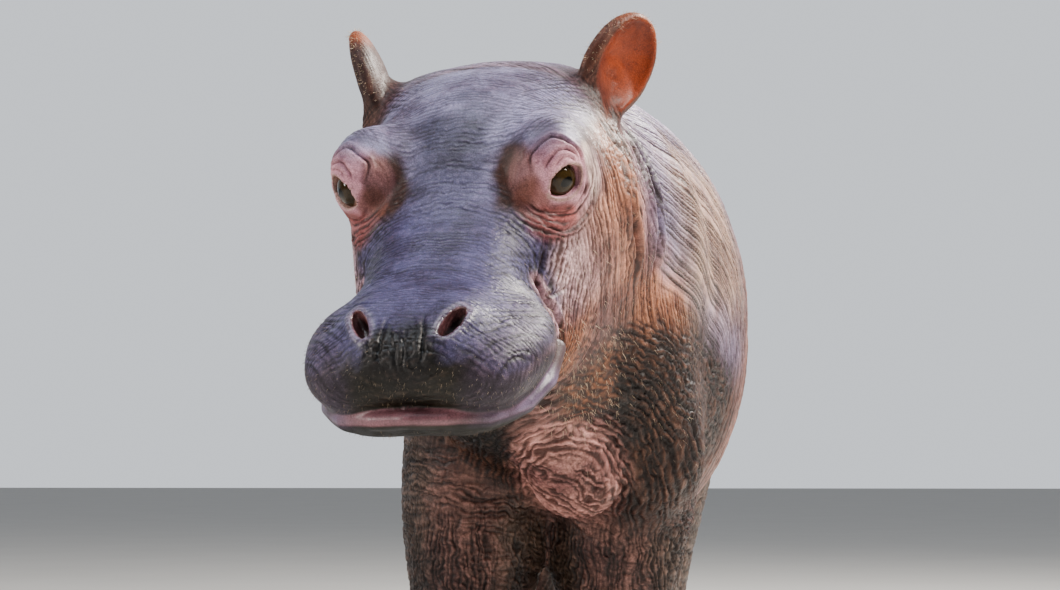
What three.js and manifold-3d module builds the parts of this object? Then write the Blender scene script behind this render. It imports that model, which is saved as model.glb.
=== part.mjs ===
// A young hippopotamus, standing with its head lowered and turned a little to its right,
// as a still, life-size model. Millimetres, +Z up, the animal faces -Y and its left is +X.
//
// The body is one rounded volume: lofted trunk, head and legs, blended with round cones and
// ellipsoids. Each piece is that volume's surface inside its own block, parted by thin cuts.
import * as THREE from 'three';
import { mergeVertices } from 'three/addons/utils/BufferGeometryUtils.js';
import Module from 'manifold-3d';

const wasm = await Module();
wasm.setup();

// ---------------------------------------------------------------- driving sizes

const GAP = 0.4;                  // left between neighbouring pieces
const FAR = 4000;                 // larger than the whole animal

const TRUNK_CELL = [50, 84, 46];  // facet sizes along the three axes
const NECK_CELL = [36, 34, 34];
const LEG_CELL = [26, 26, 31];
const HEAD_CELL = [22, 18, 18];   // forward, to the side, up
const TAIL_CELL = [12, 11, 20];
const FACETS = { eye: [11, 7], nail: [7, 4], ear: [12, 7], nostril: [10, 7], earStalk: 10, lidOpening: 12 };
const SETTLE_REACH = 0.8;         // a point settles within this share of the smallest facet

const EYES_AT = [-57, -562, 514]; // in the middle of the head, between the eyes
const HEAD_TURN = 9.6;            // degrees to the animal's right
const HEAD_DROP = 28;
const HEAD_TILT = 1;

const EYE_AT = [11, 81, 8.5];     // head places are: forward, to the side, up
const EYE_RADIUS = 20;
const LID = 2;                    // thickness of the eyelids
const LID_ARC = 19.7;             // the opening is where two circles of this radius meet
const LID_SPREAD = 6.7;           // half the distance between their centres
const LID_TURN = 14;              // degrees that the opening's front corner is turned down
const GAZE = unit([0.67, 0.74, 0.03]);
const EYE_SLANT = 0.22;

const EAR_AT = { left: [-120, 86, 10], right: [-118, 92, 4] };
const EAR_LEAN = 30;              // degrees back
const EAR_OUT = { left: 34, right: 22 };
const EAR_TURN = { left: 56, right: 84 };
const EAR_SHELL = { at: [53, 0, 0], radii: [51, 39, 15] };
const EAR_HOLLOW = { at: [60, 0, 15], radii: [43, 31.5, 20] };
const EAR_STALK = { from: [-14, -4, -6], to: [30, 0, -4], radii: [34, 24] };

const TOE_COUNT = 4;
const TOE_SPREAD = 36;            // degrees from one toe to the next
const TOE_HEIGHT = 16;
const TOE_INSET = [6, 8];         // how far the toes' middles are inside the sole's edge
const TOE_FLATNESS = 0.95;
const NAIL = { across: 9.5, out: 6, up: 12, height: 19, inset: 4 };

// Round cones and ellipsoids that are blended with the lofts. The neck, rump and tail are in
// the body's axes, the face's parts in the head's, on one side.
const NECK = {
  nape: { from: [-8, -320, 485], to: [-34, -480, 505], radii: [148, 118] },
  throat: { from: [-6, -320, 375], to: [-30, -455, 400], radii: [108, 92] },
  breast: { from: [50, -348, 376], to: [80, -312, 300], radii: [78, 64] },
  dewlap: { from: [-14, -440, 350], to: [30, -368, 279], radii: [40, 42] },
};
const RUMP = { at: [0, 300, 440], radii: [160, 152, 200] };
const TAIL = {
  root: { from: [0, 425, 540], to: [0, 466, 470], radii: [26, 17] },
  tip: { from: [0, 466, 470], to: [0, 474, 390], radii: [17, 9] },
};
const FACE = {
  jowl: { at: [0, 60, -112], radii: [96, 36, 50] },
  cheek: { at: [-20, 70, -50], radii: [70, 24, 48] },
  brow: { at: [-4, 78, 12], radii: [38, 31, 39] },
  crown: { at: [-130, 56, 28], radii: [46, 36, 24] },
  lipSide: { at: [146, 44, -80], radii: [72, 55, 38] },
  lipMiddle: { at: [166, 0, -68], radii: [64, 62, 42] },
  lipFront: { at: [182, 48, -81], radii: [37, 36, 26] },
  nostrilRim: { from: [178, 34, -48], to: [202, 23, -64], radii: [19, 16] },
  chin: { at: [136, 0, -108], radii: [88, 78, 27] },
  chinSide: { at: [160, 42, -110], radii: [54, 40, 21] },
};
const LIP_RIM = { drop: [1, 1, -8], radius: 7 };
const NOSTRIL = { at: [194, 36, -37], long: [28, -16, -12], face: [0.44, 0.1, 0.9], radii: [16, 6, 12] };
const GROOVE = { radius: 4, sides: 5, steps: 18 };
const LID_SHAFT = { start: 2, length: 60 };

// How softly each part runs into the rest.
const BLEND = {
  rump: 50, neck: 60, throat: 50, breast: 40, dewlap: 7, leg: 28, toe: 10, head: 34, tail: 8,
  jowl: 30, cheek: 26, lip: 14, lipMiddle: 26, lipFront: 16, nostril: 16,
  chin: 5, chinSide: 16, lipRim: 8, brow: 7, crown: 16, lids: 5,
};

// Sections across the trunk: place along Y, half width, top, bottom.
const TRUNK_POWER = 2.15;
const TRUNK = [
  { at: -400, half: 60, top: 540, bottom: 380 },
  { at: -310, half: 118, top: 620, bottom: 275 },
  { at: -230, half: 150, top: 652, bottom: 226 },
  { at: -120, half: 176, top: 668, bottom: 204 },
  { at: 40, half: 194, top: 676, bottom: 188 },
  { at: 190, half: 188, top: 672, bottom: 192 },
  { at: 290, half: 164, top: 652, bottom: 222 },
  { at: 350, half: 125, top: 620, bottom: 280 },
  { at: 400, half: 60, top: 560, bottom: 380 },
];

// Sections across the head, from the nape forward, in the head's own axes.
const HEAD_POWER = 2.5;
const HEAD = [
  { at: -190, half: 90, top: 37, bottom: -170 },
  { at: -150, half: 96, top: 55, bottom: -174 },
  { at: -110, half: 97, top: 54, bottom: -172 },
  { at: -60, half: 93, top: 40, bottom: -166 },
  { at: -10, half: 84, top: 24, bottom: -158 },
  { at: 40, half: 78, top: 6, bottom: -150 },
  { at: 90, half: 70, top: -12, bottom: -144 },
  { at: 130, half: 66, top: -24, bottom: -136 },
  { at: 180, half: 62, top: -34, bottom: -124 },
  { at: 205, half: 50, top: -47, bottom: -112 },
];

// Sections across a leg, from the sole up: centre, half width, half depth.
const FRONT_LEG = [
  { at: -20, x: 74, y: -292, wide: 52, deep: 58 },
  { at: 24, x: 74, y: -290, wide: 55, deep: 60 },
  { at: 55, x: 74, y: -284, wide: 50, deep: 51 },
  { at: 90, x: 73, y: -277, wide: 47, deep: 47 },
  { at: 125, x: 72, y: -271, wide: 50, deep: 52 },
  { at: 170, x: 71, y: -265, wide: 58, deep: 64 },
  { at: 230, x: 72, y: -259, wide: 66, deep: 78 },
  { at: 300, x: 78, y: -252, wide: 62, deep: 90 },
  { at: 370, x: 78, y: -240, wide: 52, deep: 84 },
  { at: 420, x: 66, y: -235, wide: 30, deep: 50 },
];
const HIND_LEG = [
  { at: -20, x: 80, y: 312, wide: 52, deep: 58 },
  { at: 24, x: 80, y: 314, wide: 55, deep: 60 },
  { at: 55, x: 80, y: 322, wide: 50, deep: 50 },
  { at: 90, x: 80, y: 330, wide: 47, deep: 48 },
  { at: 125, x: 80, y: 330, wide: 48, deep: 54 },
  { at: 170, x: 82, y: 314, wide: 54, deep: 68 },
  { at: 225, x: 86, y: 294, wide: 62, deep: 90 },
  { at: 300, x: 92, y: 284, wide: 68, deep: 108 },
  { at: 380, x: 86, y: 286, wide: 60, deep: 110 },
  { at: 440, x: 66, y: 290, wide: 36, deep: 70 },
];

// Each foot is set forward or back, and a little in or out, for a slow standing step.
const LEGS = [
  { name: 'front_left', sections: FRONT_LEG, side: 1, step: 25, sway: -10, toe: 19 },
  { name: 'front_right', sections: FRONT_LEG, side: -1, step: -30, sway: 2, toe: 19 },
  { name: 'hind_left', sections: HIND_LEG, side: 1, step: -26, sway: -4, toe: 18 },
  { name: 'hind_right', sections: HIND_LEG, side: -1, step: 36, sway: -8, toe: 18 },
];
const STEP_TOP = 360;             // the step and the sway fade out up to these heights
const SWAY_TOP = 300;
const SWAY_FADE = 100;

// The line where the lips meet, on one side, from the middle to the corner.
const MOUTH = [
  [226, 0, -92], [221, 28, -95], [206, 56, -101], [176, 78, -105],
  [142, 89, -102], [114, 92, -88], [98, 88, -66],
];

// ---------------------------------------------------------------- small vector tools

function dot(a, b) {
  return a[0] * b[0] + a[1] * b[1] + a[2] * b[2];
}

function minus(a, b) {
  return [a[0] - b[0], a[1] - b[1], a[2] - b[2]];
}

function shifted(a, ...steps) {
  return steps.reduce((sum, step) => sum.map((value, i) => value + step[i]), a);
}

function along(a, direction, distance) {
  return a.map((value, i) => value + direction[i] * distance);
}

function cross(a, b) {
  return [a[1] * b[2] - a[2] * b[1], a[2] * b[0] - a[0] * b[2], a[0] * b[1] - a[1] * b[0]];
}

function unit(a) {
  const size = Math.hypot(...a);
  return a.map(value => value / size);
}

function square(a, b) {
  return unit(along(a, b, -dot(a, b)));
}

function clamp(value, low, high) {
  return Math.min(high, Math.max(low, value));
}

function radians(degrees) {
  return degrees * Math.PI / 180;
}

// ---------------------------------------------------------------- volumes
// A volume is a function of a place: about its distance to the surface, negative inside.

function joined(a, b, blend) {
  const h = clamp(0.5 + 0.5 * (b - a) / blend, 0, 1);
  return b + (a - b) * h - blend * h * (1 - h);
}

function ellipsoid(p, { at, radii }) {
  const q = minus(p, at);
  const near = Math.hypot(q[0] / radii[0], q[1] / radii[1], q[2] / radii[2]);
  const slope = Math.hypot(q[0] / radii[0] ** 2, q[1] / radii[1] ** 2, q[2] / radii[2] ** 2);
  return slope > 1e-9 ? near * (near - 1) / slope : -Math.min(...radii);
}

function cone(p, { from, to, radii }) {
  const axis = minus(to, from);
  const offset = minus(p, from);
  const t = clamp(dot(offset, axis) / dot(axis, axis), 0, 1);
  return Math.hypot(...along(offset, axis, -t)) - (radii[0] + (radii[1] - radii[0]) * t);
}

// A smooth curve through one named size of a list of sections.
function profile(sections, name) {
  const x = sections.map(section => section.at);
  const y = sections.map(section => section[name]);
  const last = x.length - 1;
  const slope = y.map((value, i) => {
    if (i === 0) return (y[1] - y[0]) / (x[1] - x[0]);
    if (i === last) return (y[last] - y[last - 1]) / (x[last] - x[last - 1]);
    const back = x[i] - x[i - 1];
    const ahead = x[i + 1] - x[i];
    const sum = back ** 2 * y[i + 1] + (ahead ** 2 - back ** 2) * value - ahead ** 2 * y[i - 1];
    return sum / (back * ahead * (back + ahead));
  });
  return place => {
    const t = clamp(place, x[0], x[last]);
    let i = 0;
    while (i < last - 1 && t >= x[i + 1]) i += 1;
    const h = x[i + 1] - x[i];
    const s = (t - x[i]) / h;
    const s2 = s * s;
    const s3 = s2 * s;
    return (2 * s3 - 3 * s2 + 1) * y[i] + (s3 - 2 * s2 + s) * h * slope[i]
      + (3 * s2 - 2 * s3) * y[i + 1] + (s3 - s2) * h * slope[i + 1];
  };
}

function ended(radial, over) {
  return over > 0 ? Math.hypot(Math.max(radial, 0), over) : radial;
}

// A long body with squarish round sections.
function loft(sections, power) {
  const half = profile(sections, 'half');
  const top = profile(sections, 'top');
  const bottom = profile(sections, 'bottom');
  const first = sections[0].at;
  const last = sections[sections.length - 1].at;
  return (place, across, up) => {
    const rise = up - (top(place) + bottom(place)) / 2;
    const tall = (top(place) - bottom(place)) / 2;
    const q = (Math.abs(across / half(place)) ** power + Math.abs(rise / tall) ** power) ** (1 / power);
    const radial = Math.hypot(across, rise) * (1 - 1 / Math.max(q, 1e-6));
    return ended(radial, Math.max(first - place, place - last, 0));
  };
}

// ---------------------------------------------------------------- the head's own axes

function headAxes() {
  const [turn, drop, tilt] = [HEAD_TURN, HEAD_DROP, HEAD_TILT].map(radians);
  const forward = [-Math.sin(turn) * Math.cos(drop), -Math.cos(turn) * Math.cos(drop), -Math.sin(drop)];
  const level = [Math.cos(turn), -Math.sin(turn), 0];
  const upright = cross(forward, level);
  const left = along(level.map(value => value * Math.cos(tilt)), upright, Math.sin(tilt));
  const up = along(upright.map(value => value * Math.cos(tilt)), level, -Math.sin(tilt));
  return [forward, left, up];
}

const AXES = headAxes();

function inHead(p) {
  const q = minus(p, EYES_AT);
  return AXES.map(axis => dot(q, axis));
}

function fromHead(local) {
  return EYES_AT.map((value, i) => value + AXES.reduce((sum, axis, k) => sum + axis[i] * local[k], 0));
}

function turnedFromHead(local) {
  return minus(fromHead(local), EYES_AT);
}

function mirrored(local, side) {
  return [local[0], local[1] * side, local[2]];
}

const EYE_LONG = square([GAZE[1], -GAZE[0], -EYE_SLANT], GAZE);
const EYE_HIGH = cross(EYE_LONG, GAZE);

// The ear's axes in the head: along its length, across it, and out of its hollow.
function earAxes(name) {
  const [lean, out, turn] = [EAR_LEAN, EAR_OUT[name], EAR_TURN[name]].map(radians);
  const long = unit([-Math.sin(lean), Math.cos(lean) * Math.sin(out), Math.cos(lean) * Math.cos(out)]);
  const face = square([Math.cos(turn), Math.sin(turn), 0], long);
  return [long, cross(long, face), face];
}

// ---------------------------------------------------------------- the animal's volume

const trunkLoft = loft(TRUNK, TRUNK_POWER);
const headLoft = loft(HEAD, HEAD_POWER);

function neckVolume(p) {
  let neck = joined(cone(p, NECK.nape), cone(p, NECK.throat), BLEND.throat);
  neck = joined(neck, cone(p, NECK.breast), BLEND.breast);
  return joined(neck, cone(p, NECK.dewlap), BLEND.dewlap);
}

function tailVolume(p) {
  return joined(cone(p, TAIL.root), cone(p, TAIL.tip), BLEND.tail);
}

// Where toe number i of a leg is, and the way it points.
function toePlace(leg, i) {
  const sole = leg.sections[1];
  const angle = radians((i - (TOE_COUNT - 1) / 2) * TOE_SPREAD);
  const out = [leg.side * Math.sin(angle), -Math.cos(angle), 0];
  const x = leg.side * (sole.x + leg.sway) + (sole.wide - TOE_INSET[0]) * out[0];
  const y = sole.y + leg.step + (sole.deep - TOE_INSET[1]) * out[1];
  const radii = [leg.toe, leg.toe, leg.toe * TOE_FLATNESS];
  const nailAt = along([x, y, NAIL.height], out, leg.toe - NAIL.inset);
  return { at: [x, y, TOE_HEIGHT], radii, out, nailAt };
}

for (const leg of LEGS) {
  leg.x = profile(leg.sections, 'x');
  leg.y = profile(leg.sections, 'y');
  leg.wide = profile(leg.sections, 'wide');
  leg.deep = profile(leg.sections, 'deep');
  leg.toes = Array.from({ length: TOE_COUNT }, (_, i) => toePlace(leg, i));
}

function legVolume(p, leg) {
  const z = p[2];
  const dx = p[0] * leg.side - leg.x(z) - leg.sway * clamp((SWAY_TOP - z) / SWAY_FADE, 0, 1);
  const dy = p[1] - leg.y(z) - leg.step * clamp((STEP_TOP - z) / STEP_TOP, 0, 1);
  const q = Math.hypot(dx / leg.wide(z), dy / leg.deep(z));
  const radial = Math.hypot(dx, dy) * (1 - 1 / Math.max(q, 1e-6));
  const top = leg.sections[leg.sections.length - 1].at;
  const limb = ended(radial, Math.max(z - top, 0));
  return leg.toes.reduce((d, toe) => joined(d, ellipsoid(p, toe), BLEND.toe), limb);
}

function lipVolume(m) {
  const lip = joined(ellipsoid(m, FACE.lipSide), ellipsoid(m, FACE.lipMiddle), BLEND.lipMiddle);
  return joined(lip, ellipsoid(m, FACE.lipFront), BLEND.lipFront);
}

function chinVolume(m) {
  const chin = joined(ellipsoid(m, FACE.chin), ellipsoid(m, FACE.chinSide), BLEND.chinSide);
  const radii = [LIP_RIM.radius, LIP_RIM.radius];
  let rim = FAR;
  for (let i = 0; i < MOUTH.length - 2; i += 1) {
    const [from, to] = [MOUTH[i], MOUTH[i + 1]].map(place => shifted(place, LIP_RIM.drop));
    rim = Math.min(rim, cone(m, { from, to, radii }));
  }
  return joined(chin, rim, BLEND.lipRim);
}

function headVolume(p) {
  const m = inHead(p);
  m[1] = Math.abs(m[1]);
  let d = joined(headLoft(...m), ellipsoid(m, FACE.jowl), BLEND.jowl);
  d = joined(d, ellipsoid(m, FACE.cheek), BLEND.cheek);
  d = joined(d, lipVolume(m), BLEND.lip);
  d = joined(d, cone(m, FACE.nostrilRim), BLEND.nostril);
  d = joined(d, chinVolume(m), BLEND.chin);
  d = joined(d, ellipsoid(m, FACE.crown), BLEND.crown);
  d = joined(d, ellipsoid(m, FACE.brow), BLEND.brow);
  return joined(d, Math.hypot(...minus(m, EYE_AT)) - EYE_RADIUS - LID, BLEND.lids);
}

// The whole body but for the ears and the tail, which are thinner than its facets.
function bodyVolume(p) {
  let d = joined(trunkLoft(p[1], p[0], p[2]), ellipsoid(p, RUMP), BLEND.rump);
  d = joined(d, neckVolume(p), BLEND.neck);
  for (const leg of LEGS) d = joined(d, legVolume(p, leg), BLEND.leg);
  return joined(d, headVolume(p), BLEND.head);
}

// ---------------------------------------------------------------- from volume to solid

function solidOf(geometry) {
  const bare = new THREE.BufferGeometry();
  bare.setAttribute('position', geometry.getAttribute('position'));
  bare.setIndex(geometry.getIndex());
  const shared = mergeVertices(bare, 1e-4);
  const position = new Float32Array(shared.getAttribute('position').array);
  const index = dropEmpty(shared.getIndex().array);
  return new wasm.Manifold(new wasm.Mesh({ numProp: 3, vertProperties: position, triVerts: index }));
}

// Triangles that the merge left without an area, such as those at a sphere's poles.
function dropEmpty(index) {
  const kept = [];
  for (let i = 0; i < index.length; i += 3) {
    const [a, b, c] = index.slice(i, i + 3);
    if (a !== b && b !== c && c !== a) kept.push(a, b, c);
  }
  return new Uint32Array(kept);
}

// Moves a place onto the volume's surface, where it is close to it.
function settled(volume, p, reach) {
  const step = 0.5;
  let q = p;
  for (let round = 0; round < 2; round += 1) {
    const d = volume(q);
    if (Math.abs(d) > reach) return q;
    const slope = [0, 1, 2].map(i => (volume(q.map((value, k) => value + (k === i ? step : 0))) - d) / step);
    q = along(q, slope, -d / Math.max(dot(slope, slope), 0.05));
  }
  return q;
}

// A grid of places in a block, and the volume's level at each. Its outermost layer counts as outside.
function sampled(volume, low, high, cell) {
  const count = low.map((value, i) => Math.ceil((high[i] - value) / cell[i]) + 1);
  const at = node => (node[0] * count[1] + node[1]) * count[2] + node[2];
  const place = node => low.map((value, i) => value + node[i] * cell[i]);
  const nodes = [];
  for (let i = 0; i < count[0]; i += 1) {
    for (let j = 0; j < count[1]; j += 1) {
      for (let k = 0; k < count[2]; k += 1) nodes.push([i, j, k]);
    }
  }
  const isOuter = node => node.some((value, i) => value === 0 || value === count[i] - 1);
  const level = nodes.map(node => isOuter(node) ? cell[0] : volume(place(node)));
  return { nodes, level, at, place, isOuter };
}

const STEPS = [[1, 0, 0], [0, 1, 0], [0, 0, 1]];
const CORNERS = Array.from({ length: 8 }, (_, n) => [n & 1, (n >> 1) & 1, (n >> 2) & 1]);
const EDGES = STEPS.flatMap(step => CORNERS.filter(corner => dot(corner, step) === 0)
  .map(corner => [corner, shifted(corner, step)]));

// Fills notches thinner than a cell, where the surface would meet itself along an edge.
function fillNotches({ nodes, level, at, isOuter }) {
  let changed = true;
  while (changed) {
    changed = false;
    for (const node of nodes.filter(one => !isOuter(one))) {
      for (const [u, v] of [[STEPS[0], STEPS[1]], [STEPS[1], STEPS[2]], [STEPS[2], STEPS[0]]]) {
        const ring = [node, shifted(node, u), shifted(node, u, v), shifted(node, v)].map(at);
        const inside = ring.map(i => level[i] < 0);
        if (inside[0] !== inside[2] || inside[1] !== inside[3] || inside[0] === inside[1]) continue;
        const [first, second] = inside[0] ? [ring[1], ring[3]] : [ring[0], ring[2]];
        level[level[first] < level[second] ? first : second] = -1e-3;
        changed = true;
      }
    }
  }
}

// The closed surface of a volume inside a block, with one point for each cell that it crosses.
function surface(volume, { low, high }, cell) {
  const grid = sampled(volume, low, high, cell);
  fillNotches(grid);
  const { nodes, level, at, place } = grid;
  const reach = Math.min(...cell) * SETTLE_REACH;
  const points = [];
  const number = new Map();
  const isLast = node => CORNERS.some(corner => level[at(shifted(node, corner))] === undefined);
  for (const node of nodes) {
    const crossings = EDGES.map(([from, to]) => {
      const start = level[at(shifted(node, from))];
      const end = level[at(shifted(node, to))];
      return (start < 0) === (end < 0) ? null : along(from, minus(to, from), start / (start - end));
    }).filter(crossing => crossing);
    if (crossings.length === 0 || isLast(node)) continue;
    const mean = shifted([0, 0, 0], ...crossings).map(value => value / crossings.length);
    number.set(at(node), points.length);
    points.push(settled(volume, place(shifted(node, mean)), reach));
  }
  const quads = [];
  STEPS.forEach((step, axis) => {
    const [u, v] = [STEPS[(axis + 1) % 3], STEPS[(axis + 2) % 3]];
    for (const node of nodes) {
      const start = level[at(node)] < 0;
      if (start === level[at(shifted(node, step))] < 0) continue;
      const cells = [[u, v], [v], [], [u]].map(back => minus(node, shifted([0, 0, 0], ...back)));
      const ring = cells.map(one => number.get(at(one)));
      if (ring.includes(undefined)) continue;
      quads.push(start ? ring : ring.reverse());
    }
  });
  const geometry = new THREE.BufferGeometry();
  geometry.setAttribute('position', new THREE.Float32BufferAttribute(points.flat(), 3));
  geometry.setIndex(triangles(points, quads));
  return solidOf(geometry);
}

// Two triangles for each quad, along its shorter diagonal unless that edge is already in use.
function triangles(points, quads) {
  const key = (a, b) => Math.min(a, b) * points.length + Math.max(a, b);
  const size = (a, b) => Math.hypot(...minus(points[a], points[b]));
  const used = new Set(quads.flatMap(quad => quad.map((a, i) => key(a, quad[(i + 1) % 4]))));
  return quads.flatMap(([a, b, c, d]) => {
    const wanted = size(a, c) < size(b, d) && !used.has(key(a, c));
    const split = wanted || used.has(key(b, d));
    used.add(split ? key(a, c) : key(b, d));
    return split ? [a, b, c, a, c, d] : [a, b, d, b, c, d];
  });
}

// ---------------------------------------------------------------- cutting tools

function placed(geometry, origin, xAxis, yAxis, zAxis) {
  const matrix = new THREE.Matrix4().makeBasis(...[xAxis, yAxis, zAxis].map(a => new THREE.Vector3(...a)));
  matrix.setPosition(...origin);
  return solidOf(geometry.applyMatrix4(matrix));
}

// A round body with the given axes and radii. Axes are right-handed.
function round(centre, axes, radii, facets) {
  const geometry = new THREE.SphereGeometry(1, ...facets).scale(...radii);
  return placed(geometry, centre, ...axes);
}

// Everything on the side of a plane that its normal points to.
function beyond(point, normal) {
  const z = unit(normal);
  const x = square(Math.abs(z[0]) < 0.8 ? [1, 0, 0] : [0, 1, 0], z);
  const box = new THREE.BoxGeometry(FAR, FAR, FAR).translate(0, 0, FAR / 2);
  return placed(box, point, x, cross(z, x), z);
}

function block(low, high) {
  const size = minus(high, low);
  const box = new THREE.BoxGeometry(...size);
  return solidOf(box.translate(...along(low, size, 0.5)));
}

// The same solid with its surface moved out by the gap.
function swollen(solid, distance) {
  const mesh = solid.getMesh();
  const geometry = geometryOf(mesh);
  geometry.computeVertexNormals();
  const position = geometry.getAttribute('position');
  const normal = geometry.getAttribute('normal');
  for (let i = 0; i < position.array.length; i += 1) {
    position.array[i] += normal.array[i] * distance;
  }
  return solidOf(geometry);
}

function geometryOf(mesh) {
  const geometry = new THREE.BufferGeometry();
  geometry.setAttribute('position', new THREE.BufferAttribute(Float32Array.from(mesh.vertProperties), 3));
  geometry.setIndex(new THREE.BufferAttribute(Uint32Array.from(mesh.triVerts), 1));
  return geometry;
}

// ---------------------------------------------------------------- materials

function skin(colour) {
  return new THREE.MeshStandardMaterial({ color: colour, roughness: 0.62, metalness: 0 });
}

const MATERIALS = {
  body: skin(0x7a5a55),
  head: skin(0x6f6270),
  leg: skin(0x5d4442),
  ear: skin(0x9a5236),
  eye: new THREE.MeshStandardMaterial({ color: 0x2a1a10, roughness: 0.06, metalness: 0 }),
  nail: new THREE.MeshStandardMaterial({ color: 0x4a4038, roughness: 0.5, metalness: 0 }),
};

const animal = new THREE.Group();

// Adds a named piece, with its geometry centred on the mesh's own position.
function add(name, solid, material) {
  const geometry = geometryOf(solid.getMesh());
  geometry.computeBoundingBox();
  const centre = geometry.boundingBox.getCenter(new THREE.Vector3());
  geometry.translate(-centre.x, -centre.y, -centre.z);
  geometry.computeVertexNormals();
  const mesh = new THREE.Mesh(geometry, material);
  mesh.name = name;
  mesh.position.copy(centre);
  animal.add(mesh);
}

// ---------------------------------------------------------------- cuts between pieces

const NAPE = -170;                // the head's block starts here along the head's own axes
const NAPE_SLOPE = 1 / 6;         // and comes forward towards the throat
const THROAT = -182;
const SHOULDER = { at: [0, -305, 450], normal: [0.04, -1, 0.2] };
const LEG_BLOCK = {
  front: { low: -440, high: -165, base: 178, rise: 0.62 },
  hind: { low: 182, high: 470, base: 168, rise: 0.75 },
};
const LEG_REACH = { out: 400, down: -100, up: 500 };

// The blocks whose surfaces are worked out, each a little larger than its piece.
const ROOM = {
  trunk: { low: [-264, -480, 110], high: [264, 560, 760] },
  neck: { low: [-240, -620, 160], high: [220, -200, 760] },
  head: { low: [-211, -166, -216], high: [256, 171, 90] },
  tail: { low: [-50, 385, 365], high: [50, 505, 585] },
};
const LEG_ROOM = { out: 250, margin: 40, bottom: -60, top: 420 };

// The block that holds a leg: under a plane that rises from the midline to the flank.
function legBlock(leg, grow) {
  const { low, high, base, rise } = LEG_BLOCK[leg.name.split('_')[0]];
  const inner = leg.side * (2 * GAP - grow);
  const outer = leg.side * LEG_REACH.out;
  const xs = [inner, outer].sort((a, b) => a - b);
  const box = block([xs[0], low - grow, LEG_REACH.down], [xs[1], high + grow, LEG_REACH.up]);
  return box.subtract(beyond([0, 0, base + grow], [-leg.side * rise, 0, 1]));
}

// Everything in front of the nape and above the throat.
function headBlock(grow) {
  const inside = beyond(fromHead([NAPE - grow, 0, 0]), along(AXES[0], AXES[2], NAPE_SLOPE));
  return inside.intersect(beyond(fromHead([0, 0, THROAT - grow]), AXES[2]));
}

const legRoom = LEGS.map(leg => legBlock(leg, GAP)).reduce((all, one) => all.add(one));
const ground = beyond([0, 0, 0], [0, 0, -1]);

// ---------------------------------------------------------------- pieces

function trunk() {
  const shoulder = along(SHOULDER.at, unit(SHOULDER.normal), -GAP);
  return surface(bodyVolume, ROOM.trunk, TRUNK_CELL)
    .subtract(beyond(shoulder, SHOULDER.normal))
    .subtract(legRoom);
}

function neck() {
  return surface(bodyVolume, ROOM.neck, NECK_CELL)
    .subtract(beyond(SHOULDER.at, SHOULDER.normal.map(value => -value)))
    .subtract(legRoom)
    .subtract(headBlock(GAP));
}

function tail() {
  return surface(tailVolume, ROOM.tail, TAIL_CELL);
}

function nail(toe, grow) {
  const radii = [NAIL.across, NAIL.out, NAIL.up].map(radius => radius + grow);
  return round(toe.nailAt, [cross(toe.out, [0, 0, 1]), toe.out, [0, 0, 1]], radii, FACETS.nail);
}

function leg(shape) {
  const { out, margin, bottom, top } = LEG_ROOM;
  const x = [0, shape.side * out].sort((a, b) => a - b);
  const { low, high } = LEG_BLOCK[shape.name.split('_')[0]];
  const room = { low: [x[0] - margin, low - margin, bottom], high: [x[1] + margin, high + margin, top] };
  const solid = surface(bodyVolume, room, LEG_CELL)
    .intersect(legBlock(shape, 0))
    .subtract(ground);
  return shape.toes.reduce((rest, toe) => rest.subtract(nail(toe, GAP)), solid);
}

function eyeball(side, grow) {
  const radius = EYE_RADIUS + grow;
  return round(fromHead(mirrored(EYE_AT, side)), AXES, [radius, radius, radius], FACETS.eye);
}

// The almond-shaped opening between the lids.
function lidOpening(side) {
  const slope = radians(LID_TURN);
  const high = EYE_HIGH.map(value => -value * Math.sin(slope));
  const axis = along(high, EYE_LONG, Math.cos(slope));
  const [gaze, long] = [GAZE, axis].map(a => turnedFromHead(mirrored(a, side)));
  const half = Math.sqrt(LID_ARC ** 2 - LID_SPREAD ** 2);
  const middle = LID_SHAFT.start + LID_SHAFT.length / 2;
  const shaft = new THREE.CylinderGeometry(1, 1, LID_SHAFT.length, FACETS.lidOpening).translate(0, middle, 0);
  shaft.scale(half, 1, LID_ARC - LID_SPREAD);
  return placed(shaft, fromHead(mirrored(EYE_AT, side)), long, gaze, cross(long, gaze));
}

function nostrilPit(side) {
  const long = unit(NOSTRIL.long);
  const face = square(NOSTRIL.face, long);
  const axes = [long, cross(face, long), face].map(a => turnedFromHead(mirrored(a, side)));
  axes[1] = axes[1].map(value => value * side);
  return round(fromHead(mirrored(NOSTRIL.at, side)), axes, NOSTRIL.radii, FACETS.nostril);
}

// The groove between the lips, swept along the mouth line from corner to corner.
function mouthGroove() {
  const right = MOUTH.slice(1).reverse().map(place => mirrored(place, -1));
  const places = [...right, ...MOUTH].map(place => new THREE.Vector3(...fromHead(place)));
  const path = new THREE.CatmullRomCurve3(places);
  const corners = Array.from({ length: GROOVE.sides }, (_, i) => {
    const angle = 2 * Math.PI * i / GROOVE.sides;
    return new THREE.Vector2(GROOVE.radius * Math.cos(angle), GROOVE.radius * Math.sin(angle));
  });
  const options = { steps: GROOVE.steps, extrudePath: path, bevelEnabled: false };
  return solidOf(new THREE.ExtrudeGeometry(new THREE.Shape(corners), options));
}

function head() {
  const axes = AXES.map(axis => new THREE.Vector3(...axis));
  const turn = new THREE.Matrix4().makeBasis(...axes).setPosition(...EYES_AT);
  let solid = surface(local => bodyVolume(fromHead(local)), ROOM.head, HEAD_CELL)
    .transform(turn.elements)
    .intersect(headBlock(0))
    .subtract(mouthGroove());
  for (const side of [1, -1]) {
    solid = solid.subtract(eyeball(side, GAP)).subtract(lidOpening(side)).subtract(nostrilPit(side));
  }
  return solid;
}

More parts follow.
